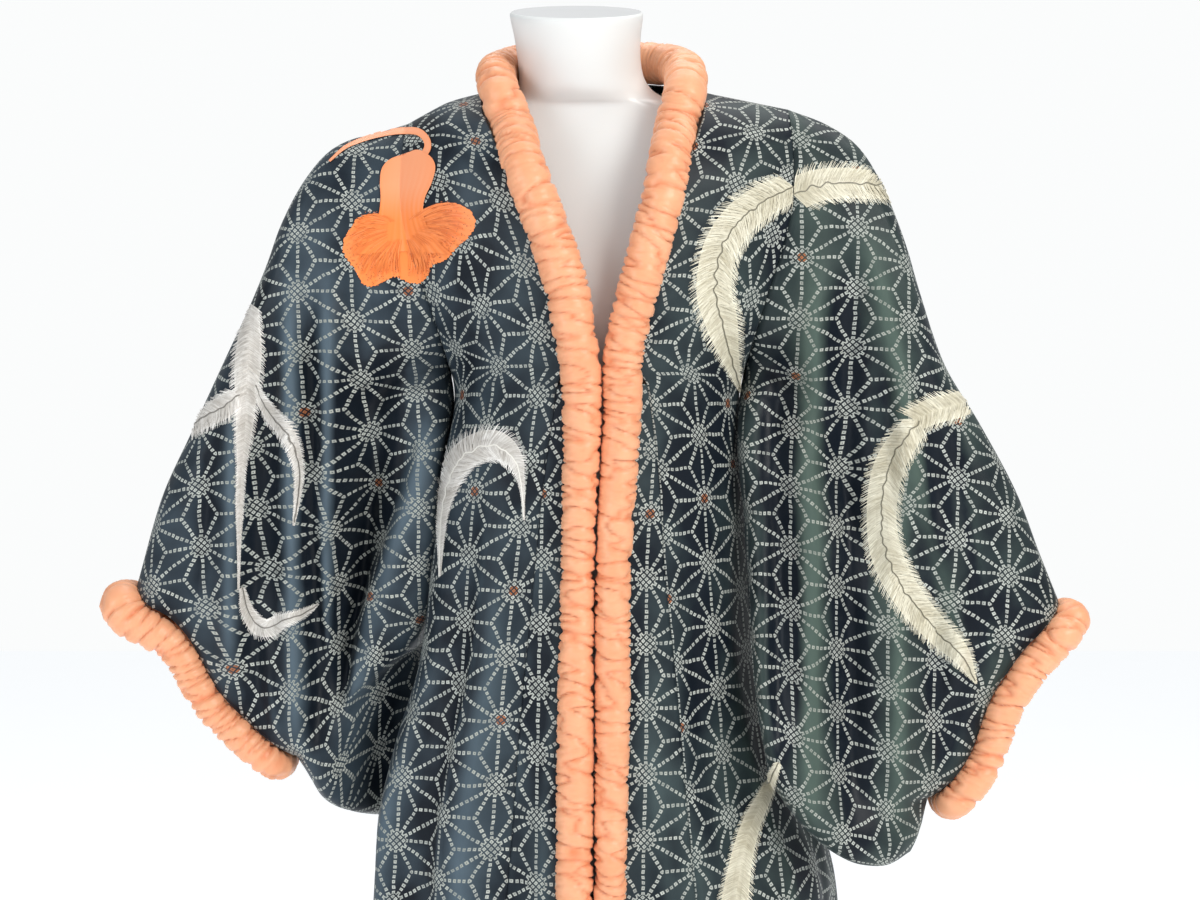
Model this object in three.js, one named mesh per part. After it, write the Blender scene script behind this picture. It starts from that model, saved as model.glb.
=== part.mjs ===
import * as THREE from 'three';
import { mergeVertices } from 'three/addons/utils/BufferGeometryUtils.js';

// A robe of patterned silk with gathered roll edges, on a limbless dress form with a pole and a base.
// Millimetres, +Z up. The front faces -Y, and the wearer's left is +X. The front opening is at X = 0.

// Driving sizes
const wall = 2.5; // cloth and its backing
const seamGap = 0.3; // between two sewn pieces
const hemHeight = 78; // above the floor
const armpitHeight = 1180;
const ridgeHeight = 1424; // nominal top of the shoulder fold
const shoulderRound = 92; // how far below the fold the front and back become upright
const roundness = 1.8; // exponent of the body's oval, 2 for an ellipse
const neckHalf = { left: 92, right: 99 }; // where the shoulder fold meets the neck roll
const gathers = { neck: 150, cuff: 25 }; // 200 in all
const rollSides = 8;
const gatherDepth = 2.6;
const cuffRadius = {
  left: { top: 16, foot: 15 },
  right: { top: 19, foot: 14 },
};
const neckRollStart = 1190; // below it the two front rolls touch

// Smooth curve through one column of a table, at a height or place given in another column
function along(table, column, place, at) {
  const last = table.length - 1;
  const sign = Math.sign(table[last][place] - table[0][place]);
  let k = 0;
  while (k < last - 1 && sign * (at - table[k + 1][place]) > 0) {
    k += 1;
  }
  const here = table[k];
  const next = table[k + 1];
  const before = table[Math.max(k - 1, 0)];
  const after = table[Math.min(k + 2, last)];
  const span = next[place] - here[place];
  const t = Math.min(Math.max((at - here[place]) / span, 0), 1);
  const slopeHere = (next[column] - before[column]) / (next[place] - before[place]) * span;
  const slopeNext = (after[column] - here[column]) / (after[place] - here[place]) * span;
  const t2 = t * t;
  const t3 = t2 * t;
  return here[column] * (2 * t3 - 3 * t2 + 1) + slopeHere * (t3 - 2 * t2 + t)
    + next[column] * (3 * t2 - 2 * t3) + slopeNext * (t3 - t2);
}

function mix(a, b, t) {
  return a + (b - a) * t;
}

// 0 up to the first value, 1 from the second, smooth between
function ease(low, high, at) {
  const t = Math.min(Math.max((at - low) / (high - low), 0), 1);
  return t * t * (3 - 2 * t);
}

// A quarter round, from 0 at the edge to 1 at the given reach
function rounded(distance, reach) {
  const t = 1 - Math.min(Math.max(distance / reach, 0), 1);
  return Math.sqrt(1 - t * t);
}

// The robe's oval at each height: half width to each side of the opening, half depth each way,
// and how far back each side's widest point lies, beside the sleeve that hangs next to it
const oval = [
  { z: 78, right: 214, left: 226, front: 132, back: 138, rightBack: 0, leftBack: 0 },
  { z: 300, right: 208, left: 224, front: 128, back: 134, rightBack: -4, leftBack: 4 },
  { z: 560, right: 202, left: 222, front: 124, back: 130, rightBack: -12, leftBack: 10 },
  { z: 700, right: 199, left: 218, front: 121, back: 127, rightBack: -24, leftBack: 24 },
  { z: 750, right: 197, left: 211, front: 120, back: 125, rightBack: -28, leftBack: 30 },
  { z: 800, right: 193, left: 188, front: 119, back: 122, rightBack: -30, leftBack: 30 },
  { z: 860, right: 178, left: 166, front: 117, back: 116, rightBack: -31, leftBack: 30 },
  { z: 930, right: 157, left: 152, front: 114, back: 109, rightBack: -31, leftBack: 30 },
  { z: 1010, right: 146, left: 144, front: 112, back: 103, rightBack: -30, leftBack: 28 },
  { z: 1100, right: 136, left: 136, front: 114, back: 103, rightBack: -24, leftBack: 20 },
  { z: 1180, right: 128, left: 128, front: 118, back: 105, rightBack: 0, leftBack: 0 },
  { z: 1240, right: 166, left: 166, front: 120, back: 107, rightBack: 0, leftBack: 0 },
  { z: 1300, right: 194, left: 194, front: 118, back: 107, rightBack: 0, leftBack: 0 },
  { z: 1370, right: 206, left: 206, front: 113, back: 104, rightBack: 0, leftBack: 0 },
  { z: 1424, right: 210, left: 210, front: 108, back: 101, rightBack: 0, leftBack: 0 },
];

// The armhole seam's distance from the opening
const armhole = [
  { z: 1180, out: 128 },
  { z: 1220, out: 137 },
  { z: 1260, out: 148 },
  { z: 1300, out: 160 },
  { z: 1340, out: 168 },
  { z: 1380, out: 169 },
  { z: 1424, out: 167 },
];

// The shoulder fold's height, outward from the neck roll
const shoulderFold = [
  { out: 80, right: 1436, left: 1436 },
  { out: 100, right: 1432, left: 1431 },
  { out: 130, right: 1424, left: 1425 },
  { out: 150, right: 1414, left: 1421 },
  { out: 170, right: 1403, left: 1417 },
];

// The back neckline from the centre, 0, to the shoulder fold, 1
const neckline = [
  { part: 0, rise: 14, y: 79 },
  { part: 0.4, rise: 13, y: 72 },
  { part: 0.72, rise: 9, y: 51 },
  { part: 0.9, rise: 4, y: 18 },
  { part: 1, rise: 0, y: 0 },
];

// Where the two front rolls touch below the chest, and the rolls' radii
const frontRoll = [
  { z: 78, meet: -3, left: 14.2, right: 15 },
  { z: 400, meet: -3, left: 14, right: 15.5 },
  { z: 735, meet: -3, left: 13.7, right: 16 },
  { z: 910, meet: -2.2, left: 15, right: 15.6 },
  { z: 1024, meet: -1.5, left: 15, right: 14.4 },
  { z: 1100, meet: 2, left: 15.8, right: 15.6 },
  { z: 1160, meet: 4.5, left: 16.5, right: 16.8 },
  { z: 1200, meet: 5, left: 17, right: 17.6 },
  { z: 1251, meet: 5, left: 17.6, right: 18.7 },
  { z: 1330, meet: 5, left: 18.2, right: 18.6 },
  { z: 1402, meet: 5, left: 18.6, right: 18.6 },
  { z: 1440, meet: 5, left: 18.6, right: 17.4 },
];

// How far the middle of each roll stands out from that line above the chest
const neckOpening = [
  { z: 1196, left: 19.5, right: 17 },
  { z: 1251, left: 32, right: 23 },
  { z: 1291, left: 43, right: 34.5 },
  { z: 1340, left: 55.5, right: 52.5 },
  { z: 1375, left: 62.5, right: 65 },
  { z: 1402, left: 68.5, right: 73 },
  { z: 1430, left: 74, right: 80 },
];

// The neck roll behind the neck, from the wearer's left to the right
const behindNeck = [
  { x: 75, y: -56, z: 1427 },
  { x: 77, y: -24, z: 1445 },
  { x: 73, y: 12, z: 1454 },
  { x: 60, y: 43, z: 1461 },
  { x: 34, y: 65, z: 1465 },
  { x: -4, y: 72, z: 1466 },
  { x: -40, y: 65, z: 1465 },
  { x: -68, y: 42, z: 1461 },
  { x: -84, y: 10, z: 1453 },
  { x: -88, y: -24, z: 1445 },
  { x: -83, y: -56, z: 1427 },
];

// Folds of the hanging robe. at is the angle round from the front opening, 0, to the centre back, 180.
// A fold fades in below its top, drifts by lean degrees to the hem, and a trough has a negative rise.
const bodyFolds = {
  left: [
    { at: 26, width: 9, rise: 5, top: 900, lean: 2 },
    { at: 44, width: 10, rise: -8, top: 1000, lean: 3 },
    { at: 62, width: 10, rise: 11, top: 760, lean: 4 },
    { at: 82, width: 9, rise: -12, top: 800, lean: 2 },
    { at: 104, width: 10, rise: 11, top: 860, lean: -2 },
    { at: 124, width: 10, rise: -12, top: 980, lean: -3 },
    { at: 143, width: 10, rise: 9, top: 900, lean: -3 },
    { at: 160, width: 8, rise: -7, top: 1050, lean: -2 },
  ],
  right: [
    { at: 22, width: 8, rise: -5, top: 1080, lean: 2 },
    { at: 37, width: 8, rise: 7, top: 1120, lean: 3 },
    { at: 52, width: 8, rise: -7, top: 1140, lean: 4 },
    { at: 68, width: 9, rise: 9, top: 1020, lean: 4 },
    { at: 86, width: 9, rise: -10, top: 800, lean: 2 },
    { at: 106, width: 10, rise: 12, top: 880, lean: -2 },
    { at: 127, width: 10, rise: -11, top: 960, lean: -3 },
    { at: 146, width: 9, rise: 9, top: 900, lean: -3 },
    { at: 162, width: 8, rise: -7, top: 1020, lean: -2 },
  ],
};
const foldFade = 260;

function foldRise(folds, degrees, z) {
  let rise = 0;
  for (const fold of folds) {
    const drift = fold.lean * (fold.top - z) / fold.top;
    const across = (degrees - fold.at - drift) / fold.width;
    const strength = ease(0, foldFade, fold.top - z);
    rise += fold.rise * strength * Math.exp(-across * across);
  }
  return rise * ease(2, 14, degrees) * ease(2, 14, 180 - degrees);
}

const sideSign = { left: 1, right: -1 };
const faceSign = { front: -1, back: 1 };

// Height of the robe's top edge at a distance from the opening: the shoulder fold or the neckline
function topHeight(side, face, out) {
  const part = out / neckHalf[side];
  const fold = along(shoulderFold, side, 'out', Math.max(out, neckHalf[side]));
  return face === 'back' ? fold + along(neckline, 'rise', 'part', part) : fold;
}

function topDepth(side, face, out) {
  return face === 'back' ? along(neckline, 'y', 'part', out / neckHalf[side]) : 0;
}

// A point of the robe's outer surface. The angle is 0 at the middle and a quarter turn at the side.
function bodyPoint(side, face, angle, nominal) {
  const halfWidth = along(oval, side, 'z', nominal);
  const halfDepth = along(oval, face, 'z', nominal);
  const power = 2 / roundness;
  let out = halfWidth * Math.sin(angle) ** power;
  let depth = halfDepth * Math.max(Math.cos(angle), 0) ** power;
  const top = topHeight(side, face, out);
  const rise = Math.max(nominal - armpitHeight, 0) / (ridgeHeight - armpitHeight);
  const z = nominal <= armpitHeight ? nominal : mix(armpitHeight, top, rise);
  const upright = rounded(top - z, shoulderRound);
  const degrees = THREE.MathUtils.radToDeg(angle);
  const round = face === 'front' ? degrees : 180 - degrees;
  const fold = foldRise(bodyFolds[side], round, z) * upright;
  out += fold * Math.sin(angle);
  depth = depth * upright + fold * Math.cos(angle);
  const sideBack = along(oval, `${side}Back`, 'z', nominal) * Math.sin(angle) ** 3;
  const y = faceSign[face] * depth + topDepth(side, face, out) * (1 - upright) + sideBack;
  return new THREE.Vector3(sideSign[side] * out, y, z);
}

function angleAt(side, nominal, out) {
  const part = Math.min(Math.max(out / along(oval, side, 'z', nominal), 0), 1);
  return Math.asin(part ** (roundness / 2));
}

function rollRadius(side, z) {
  return along(frontRoll, side, 'z', z);
}

// The middle of a front roll, outward from the opening
function rollOut(side, z) {
  const half = rollRadius(side, z) + 0.4;
  const touching = sideSign[side] * along(frontRoll, 'meet', 'z', z) + half;
  const apart = along(neckOpening, side, 'z', z);
  return mix(touching, apart, ease(neckRollStart, neckRollStart + 25, z));
}

// The cut edge beside the roll, and the seam between the overlap panel and the body.
// Above the chest the roll slants, so that it is wider at one height than its radius says.
const rollSlant = 0.16;

function edgeOut(side, nominal) {
  const slant = 1 + rollSlant * ease(neckRollStart, neckRollStart + 70, nominal);
  const beside = rollOut(side, nominal) + rollRadius(side, nominal) * slant + 0.5;
  return mix(beside, neckHalf[side], ease(ridgeHeight - 39, ridgeHeight, nominal));
}

const overlapWidth = [
  { z: 78, left: 118, right: 112 },
  { z: 400, left: 92, right: 84 },
  { z: 717, left: 60, right: 46 },
  { z: 900, left: 42, right: 32 },
  { z: 1090, left: 20, right: 16 },
  { z: 1180, left: 3, right: 3 },
];

function seamOut(side, nominal) {
  const width = nominal > armpitHeight ? 0 : along(overlapWidth, side, 'z', nominal);
  return edgeOut(side, nominal) + width;
}

// Outward normal of a surface by small steps along its two parameters
function surfaceNormal(surface, u, v, outward) {
  const step = 0.004;
  const across = surface(u + step, v).sub(surface(u - step, v));
  const up = surface(u, v + step).sub(surface(u, v - step));
  const normal = across.cross(up).normalize();
  return normal.dot(outward) < 0 ? normal.negate() : normal;
}

// Whether a patch's rows and columns turn its faces outward
function facesOutward(grid) {
  let sum = 0;
  for (let i = 0; i + 1 < grid.length; i += 1) {
    for (let j = 0; j + 1 < grid[i].length; j += 1) {
      const falling = grid[i][j + 1].point.clone().sub(grid[i + 1][j].point);
      const rising = grid[i + 1][j + 1].point.clone().sub(grid[i][j].point);
      sum += falling.cross(rising).dot(grid[i][j].normal);
    }
  }
  return sum > 0;
}

// One sheet of cloth: patches of outer points with normals, welded and given the wall's thickness
function clothGeometry(patches) {
  const corners = [];
  const places = new Map();
  const quads = [];
  const cornerOf = (entry) => {
    const key = entry.point.toArray().map((value) => Math.round(value * 100)).join();
    if (!places.has(key)) {
      places.set(key, corners.length);
      corners.push({ point: entry.point, normal: new THREE.Vector3() });
    }
    const index = places.get(key);
    corners[index].normal.add(entry.normal);
    return index;
  };
  for (const grid of patches) {
    const flip = !facesOutward(grid);
    const indices = grid.map((row) => row.map(cornerOf));
    for (let i = 0; i + 1 < indices.length; i += 1) {
      for (let j = 0; j + 1 < indices[i].length; j += 1) {
        const ring = [indices[i][j], indices[i][j + 1], indices[i + 1][j + 1], indices[i + 1][j]];
        quads.push(flip ? ring.reverse() : ring);
      }
    }
  }
  const positions = [];
  const push = (index, inner) => {
    const { point, normal } = corners[index];
    const place = inner ? point.clone().addScaledVector(normal, -wall) : point;
    positions.push(place.x, place.y, place.z);
  };
  const triangle = (a, b, c) => {
    for (const [index, inner] of [a, b, c]) {
      push(index, inner);
    }
  };
  corners.forEach(({ normal }) => normal.normalize());
  const edges = new Map();
  for (const quad of quads) {
    const ring = quad.filter((index, k) => index !== quad[(k + 1) % 4]);
    for (let k = 1; k + 1 < ring.length; k += 1) {
      triangle([ring[0], false], [ring[k], false], [ring[k + 1], false]);
      triangle([ring[0], true], [ring[k + 1], true], [ring[k], true]);
    }
    ring.forEach((from, k) => {
      const to = ring[(k + 1) % ring.length];
      if (!edges.delete(`${to},${from}`)) {
        edges.set(`${from},${to}`, [from, to]);
      }
    });
  }
  for (const [from, to] of edges.values()) {
    triangle([to, false], [from, false], [from, true]);
    triangle([to, false], [from, true], [to, true]);
  }
  const geometry = new THREE.BufferGeometry();
  geometry.setAttribute('position', new THREE.Float32BufferAttribute(positions, 3));
  return mergeVertices(geometry, 0.001);
}

// The robe's body on one side, and its overlap panel
const bodyRows = { low: 18, high: 7 };
const bodyColumns = { shoulder: 8, neck: 3, overlap: 3 };

function rowHeight(row) {
  const lowPart = row / bodyRows.low;
  const highPart = (row - bodyRows.low) / bodyRows.high;
  return row <= bodyRows.low
    ? mix(hemHeight, armpitHeight, lowPart)
    : mix(armpitHeight, ridgeHeight, 1 - (1 - highPart) ** 2);
}

function bodyEntry(side, face, nominal, inner, outer, part) {
  const surface = (u, v) => bodyPoint(side, face, mix(inner, outer, u), v * ridgeHeight);
  const outward = new THREE.Vector3(sideSign[side] * part, faceSign[face] * (1.2 - part), 0.1);
  const v = Math.min(nominal / ridgeHeight, 0.9955);
  const u = Math.min(Math.max(part, 0.005), 0.995);
  const normal = surfaceNormal(surface, u, v, outward);
  return { point: surface(part, nominal / ridgeHeight), normal };
}

function armholeOut(nominal) {
  return nominal <= armpitHeight ? 1000 : along(armhole, 'out', 'z', nominal);
}

// The back is split by a line that meets the neck roll at the top
const splitAngle = 0.43; // below the armpit

function backSplit(side, nominal) {
  const atTop = angleAt(side, ridgeHeight, neckHalf[side]);
  return mix(splitAngle, atTop, ease(armpitHeight, ridgeHeight, nominal));
}

function lineOfEntries(side, face, nominal, inner, outer, columns) {
  const line = [];
  for (let column = 0; column <= columns; column += 1) {
    line.push(bodyEntry(side, face, nominal, inner, outer, column / columns));
  }
  return line;
}

function panelRows(lastRow, lineAt) {
  return Array.from({ length: lastRow + 1 }, (_, row) => lineAt(rowHeight(row)));
}

function bodyGeometry(side) {
  const lastRow = bodyRows.low + bodyRows.high;
  const sideAngle = (nominal) => angleAt(side, nominal, armholeOut(nominal));
  const front = panelRows(lastRow, (nominal) => {
    const inner = angleAt(side, nominal, seamOut(side, nominal));
    return lineOfEntries(side, 'front', nominal, inner, sideAngle(nominal), bodyColumns.shoulder);
  });
  const outerBack = panelRows(lastRow, (nominal) => {
    const inner = backSplit(side, nominal);
    return lineOfEntries(side, 'back', nominal, inner, sideAngle(nominal), bodyColumns.shoulder);
  });
  const innerBack = panelRows(lastRow, (nominal) => {
    const inner = angleAt(side, nominal, seamGap / 2);
    const split = backSplit(side, nominal);
    const line = lineOfEntries(side, 'back', nominal, inner, split, bodyColumns.neck);
    line[0].normal.setX(0).normalize();
    return line;
  });
  return clothGeometry([front, outerBack, innerBack]);
}

function overlapGeometry(side) {
  const panel = panelRows(bodyRows.low, (nominal) => {
    const inner = angleAt(side, nominal, edgeOut(side, nominal));
    const outer = angleAt(side, nominal, seamOut(side, nominal) - seamGap);
    return lineOfEntries(side, 'front', nominal, inner, outer, bodyColumns.overlap);
  });
  return clothGeometry([panel]);
}

// Sleeves. Their outlines are seen from the front, out being the distance from the opening.
const sleeves = {
  left: {
    topFold: [
      { out: 201, z: 1405 }, { out: 228, z: 1387 }, { out: 248, z: 1357 }, { out: 270, z: 1303 },
      { out: 284, z: 1258 }, { out: 306, z: 1196 }, { out: 339, z: 1141 }, { out: 372, z: 1080 },
      { out: 393, z: 1026 }, { out: 410, z: 984 },
    ],
    cuff: [
      { out: 392, z: 961 }, { out: 375, z: 943 }, { out: 363, z: 926 }, { out: 351, z: 908 },
      { out: 341, z: 885 }, { out: 334, z: 862 }, { out: 322, z: 838 }, { out: 297, z: 809 },
    ],
    belowCuff: [{ out: 288, z: 785 }, { out: 276, z: 765 }],
    bottom: [
      { out: 252, z: 754 }, { out: 230, z: 756 }, { out: 212, z: 765 }, { out: 192, z: 781 },
      { out: 170, z: 806 }, { out: 148, z: 838 },
    ],
    innerEdge: [
      { out: 131, z: 1150 }, { out: 131, z: 1080 }, { out: 132, z: 1000 }, { out: 137, z: 910 },
    ],
    forward: { middle: -28, bottom: -88, cuff: -10, corner: -44 },
    lap: [],
    folds: [
      { topOut: 185, topZ: 1335, footOut: 183, footZ: 790, width: 20, rise: 13 },
      { topOut: 158, topZ: 1230, footOut: 157, footZ: 860, width: 13, rise: -9 },
      { topOut: 222, topZ: 1290, footOut: 236, footZ: 800, width: 18, rise: -11 },
      { topOut: 228, topZ: 1335, footOut: 322, footZ: 900, width: 17, rise: 11 },
      { topOut: 262, topZ: 1180, footOut: 262, footZ: 800, width: 15, rise: 8 },
      { topOut: 292, topZ: 1150, footOut: 300, footZ: 850, width: 13, rise: -8 },
    ],
    backFolds: [
      { topOut: 190, topZ: 1320, footOut: 200, footZ: 790, width: 20, rise: 12 },
      { topOut: 232, topZ: 1280, footOut: 240, footZ: 800, width: 18, rise: -12 },
      { topOut: 270, topZ: 1250, footOut: 300, footZ: 880, width: 18, rise: 10 },
    ],
  },
  right: {
    topFold: [
      { out: 198, z: 1396 }, { out: 218, z: 1391 }, { out: 236, z: 1381 }, { out: 257, z: 1356 },
      { out: 277, z: 1318 }, { out: 290, z: 1283 }, { out: 308, z: 1241 }, { out: 328, z: 1200 },
      { out: 361, z: 1130 }, { out: 385, z: 1078 }, { out: 408, z: 1000 },
    ],
    cuff: [
      { out: 395, z: 984 }, { out: 375, z: 972 }, { out: 359, z: 954 }, { out: 346, z: 931 },
      { out: 334, z: 908 }, { out: 314, z: 886 }, { out: 293, z: 866 }, { out: 268, z: 846 },
    ],
    belowCuff: [{ out: 257, z: 828 }, { out: 248, z: 809 }],
    bottom: [{ out: 226, z: 792 }, { out: 208, z: 784 }, { out: 190, z: 781 }, { out: 172, z: 790 }],
    innerEdge: [
      { out: 132, z: 1150 }, { out: 142, z: 1090 }, { out: 151, z: 1015 }, { out: 156, z: 955 },
      { out: 159, z: 912 }, { out: 169, z: 866 },
    ],
    forward: { middle: 26, bottom: 44, cuff: -12, corner: -8 },
    lap: [
      { z: 890, edge: 219, atBody: 0, atEdge: 20 },
      { z: 955, edge: 212, atBody: 38, atEdge: 26 },
      { z: 1020, edge: 194, atBody: 44, atEdge: 24 },
      { z: 1095, edge: 168, atBody: 37, atEdge: 23 },
      { z: 1140, edge: 155, atBody: 0, atEdge: 0 },
    ],
    folds: [
      { topOut: 178, topZ: 1200, footOut: 222, footZ: 900, width: 13, rise: -17 },
      { topOut: 230, topZ: 1290, footOut: 224, footZ: 1000, width: 14, rise: 13 },
      { topOut: 247, topZ: 1270, footOut: 240, footZ: 850, width: 12, rise: -9 },
      { topOut: 264, topZ: 1310, footOut: 262, footZ: 860, width: 13, rise: 11 },
      { topOut: 290, topZ: 1230, footOut: 300, footZ: 900, width: 14, rise: -9 },
      { topOut: 312, topZ: 1190, footOut: 322, footZ: 930, width: 13, rise: 9 },
    ],
    backFolds: [
      { topOut: 190, topZ: 1310, footOut: 196, footZ: 820, width: 20, rise: 12 },
      { topOut: 228, topZ: 1270, footOut: 234, footZ: 850, width: 18, rise: -12 },
      { topOut: 266, topZ: 1260, footOut: 290, footZ: 900, width: 18, rise: 10 },
    ],
  },
};
const sleeveRows = { armhole: 7, below: 11 };
const sleeveColumns = 12;
const cuffPart = 0.8; // of the outer edge that the mouth takes
const mouthGap = 27; // half the mouth's width, which is also the radius of its round ends
const underarmGap = 7; // half the width of the open inner edge
const fullness = { inner: 52, middle: 44, outer: 34 };

function pathThrough(points) {
  const places = points.map(({ out, z }) => new THREE.Vector3(out, 0, z));
  const curve = new THREE.CatmullRomCurve3(places, false, 'centripetal');
  curve.arcLengthDivisions = 400;
  return curve;
}

// The sleeve's four outlines, as curves from the body outward and from the fold down
function sleeveOutlines(side) {
  const sleeve = sleeves[side];
  const highPart = sleeveRows.armhole / (sleeveRows.armhole + sleeveRows.below);
  const shift = (nominal) => seamGap + 1.7 * (1 - ease(armpitHeight, armpitHeight + 60, nominal));
  const seamPoint = (part, face = 'front') => {
    const nominal = rowHeight(bodyRows.low + bodyRows.high * (1 - part));
    const outer = angleAt(side, nominal, armholeOut(nominal));
    const point = bodyPoint(side, face, outer, nominal);
    return { out: Math.abs(point.x) + shift(nominal), z: point.z, depth: Math.abs(point.y) };
  };
  const cuffTop = sleeve.topFold[sleeve.topFold.length - 1];
  const cuffEnd = sleeve.cuff[sleeve.cuff.length - 1];
  const corner = sleeve.belowCuff[sleeve.belowCuff.length - 1];
  const innerEnd = sleeve.bottom[sleeve.bottom.length - 1];
  const top = pathThrough([seamPoint(0), ...sleeve.topFold]);
  const mouth = pathThrough([cuffTop, ...sleeve.cuff]);
  const belowMouth = pathThrough([cuffEnd, ...sleeve.belowCuff]);
  const bottom = pathThrough([corner, ...sleeve.bottom]);
  const lower = pathThrough([seamPoint(1), ...sleeve.innerEdge, innerEnd]);
  return {
    highPart,
    seamPoint,
    top: (u) => top.getPointAt(u),
    bottom: (u) => bottom.getPointAt(1 - u),
    inner: (v) => {
      if (v > highPart) {
        return lower.getPointAt((v - highPart) / (1 - highPart));
      }
      const point = seamPoint(v / highPart);
      return new THREE.Vector3(point.out, 0, point.z);
    },
    outer: (v) => (v <= cuffPart
      ? mouth.getPointAt(v / cuffPart)
      : belowMouth.getPointAt((v - cuffPart) / (1 - cuffPart))),
    mouthLength: mouth.getLength(),
  };
}

function creaseRise(creases, out, z) {
  let rise = 0;
  for (const crease of creases) {
    const part = (crease.topZ - z) / (crease.topZ - crease.footZ);
    const across = (out - mix(crease.topOut, crease.footOut, part)) / crease.width;
    const strength = ease(0, 0.25, part) * (1 - ease(0.8, 1.1, part));
    rise += crease.rise * strength * Math.exp(-across * across);
  }
  return rise;
}

// The front layer of one sleeve laps forward beside the body, down to its open lower edge
const lapFoot = { out: 162, z: 946, slope: -0.91 };
const lapDrop = 14;

function lapRise(lap, inner, out, z) {
  if (lap.length === 0) {
    return 0;
  }
  const edge = along(lap, 'edge', 'z', z);
  const part = Math.min(Math.max((out - inner) / (edge - inner), 0), 1);
  const rise = mix(along(lap, 'atBody', 'z', z), along(lap, 'atEdge', 'z', z), part);
  const foot = lapFoot.z + lapFoot.slope * (out - lapFoot.out);
  return rise * (1 - ease(-2, lapDrop - 2, out - edge)) * ease(-lapDrop / 2, lapDrop / 2, z - foot);
}

const sleeveRound = { top: 55, bottom: 45, outer: 60, inner: 45, innerSpan: 220 };
const bottomFlatter = 0.55; // how much thinner the sleeve is at its lower inner corner
const creaseRoom = 25; // half thickness at which the creases have their full depth

function sleeveSurface(side, face) {
  const sleeve = sleeves[side];
  const lines = sleeveOutlines(side);
  const { forward } = sleeve;
  return (u, v) => {
    const uIn = Math.min(Math.max(u, 0), 1);
    const vIn = Math.min(Math.max(v, 0), 1);
    const top = lines.top(uIn);
    const bottom = lines.bottom(uIn);
    const inner = lines.inner(vIn);
    const outer = lines.outer(vIn);
    const place = top.clone().lerp(bottom, vIn).add(inner.clone().lerp(outer, uIn));
    const corners = lines.top(0).lerp(lines.bottom(0), vIn)
      .lerp(lines.top(1).lerp(lines.bottom(1), vIn), uIn);
    place.sub(corners);
    const low = Math.max(vIn - lines.highPart, 0) / (1 - lines.highPart);
    const mouthAlong = Math.min(vIn / cuffPart, 1) * lines.mouthLength;
    const mouthLeft = lines.mouthLength - mouthAlong;
    const mouth = mouthGap * rounded(mouthAlong, mouthGap) * rounded(mouthLeft, mouthGap);
    const underarm = underarmGap * Math.sqrt(ease(0.1, 0.35, low) * (1 - ease(0.75, 0.98, low)));
    const seam = vIn < lines.highPart ? lines.seamPoint(vIn / lines.highPart, face).depth : underarm;
    const length = top.distanceTo(bottom);
    const round = rounded(vIn * length, sleeveRound.top)
      * rounded((1 - vIn) * length, sleeveRound.bottom);
    const flatter = 1 - bottomFlatter * low * (1 - ease(0.2, 0.8, uIn));
    const thick = mix(mix(fullness.inner, fullness.middle, uIn), fullness.outer, uIn * uIn);
    const full = thick * round * flatter;
    const fromOuter = rounded((1 - uIn) * top.distanceTo(inner), sleeveRound.outer);
    const fromInner = vIn < lines.highPart
      ? ease(0, 0.35, uIn)
      : rounded(uIn * sleeveRound.innerSpan, sleeveRound.inner);
    const half = mix(seam, mix(mouth, full, fromOuter), fromInner);
    const innerMiddle = mix(forward.middle * ease(0, 0.22, low), forward.bottom, ease(0.2, 1, low));
    const middle = mix(innerMiddle, mix(forward.cuff * 0.4, forward.corner, vIn), ease(0, 1, uIn));
    const outerMiddle = mix(middle, forward.cuff, uIn * uIn * (1 - ease(0.8, 1, vIn)));
    const creases = face === 'front' ? sleeve.folds : sleeve.backFolds;
    const relief = creaseRise(creases, place.x, place.z) * Math.min(half / creaseRoom, 1)
      * ease(0, 0.12, uIn) * ease(0, 0.12, 1 - uIn);
    const lap = face === 'front' ? lapRise(sleeve.lap, inner.x, place.x, place.z) : 0;
    const y = outerMiddle + faceSign[face] * (half + relief + lap);
    return new THREE.Vector3(sideSign[side] * place.x, y, place.z);
  };
}

function sleeveGeometry(side) {
  const rows = sleeveRows.armhole + sleeveRows.below;
  const patches = ['front', 'back'].map((face) => {
    const surface = sleeveSurface(side, face);
    const outward = new THREE.Vector3(0, faceSign[face], 0);
    const grid = [];
    for (let row = 0; row <= rows; row += 1) {
      const line = [];
      for (let column = 0; column <= sleeveColumns; column += 1) {
        const u = column / sleeveColumns;
        const v = row / rows;
        const nearU = Math.min(Math.max(u, 0.02), 0.98);
        const nearV = Math.min(Math.max(v, 0.012), 0.988);
        const normal = surfaceNormal(surface, nearU, nearV, outward);
        line.push({ point: surface(u, v), normal });
      }
      if (row <= sleeveRows.armhole) {
        line[0].normal = armholeNormal(side, face, row);
      }
      grid.push(line);
    }
    return grid;
  });
  return clothGeometry(patches);
}

function armholeNormal(side, face, row) {
  const nominal = rowHeight(bodyRows.low + bodyRows.high - row);
  const outer = angleAt(side, nominal, armholeOut(nominal));
  const inner = angleAt(side, nominal, edgeOut(side, nominal));
  return bodyEntry(side, face, nominal, inner, outer, 1).normal;
}

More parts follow.
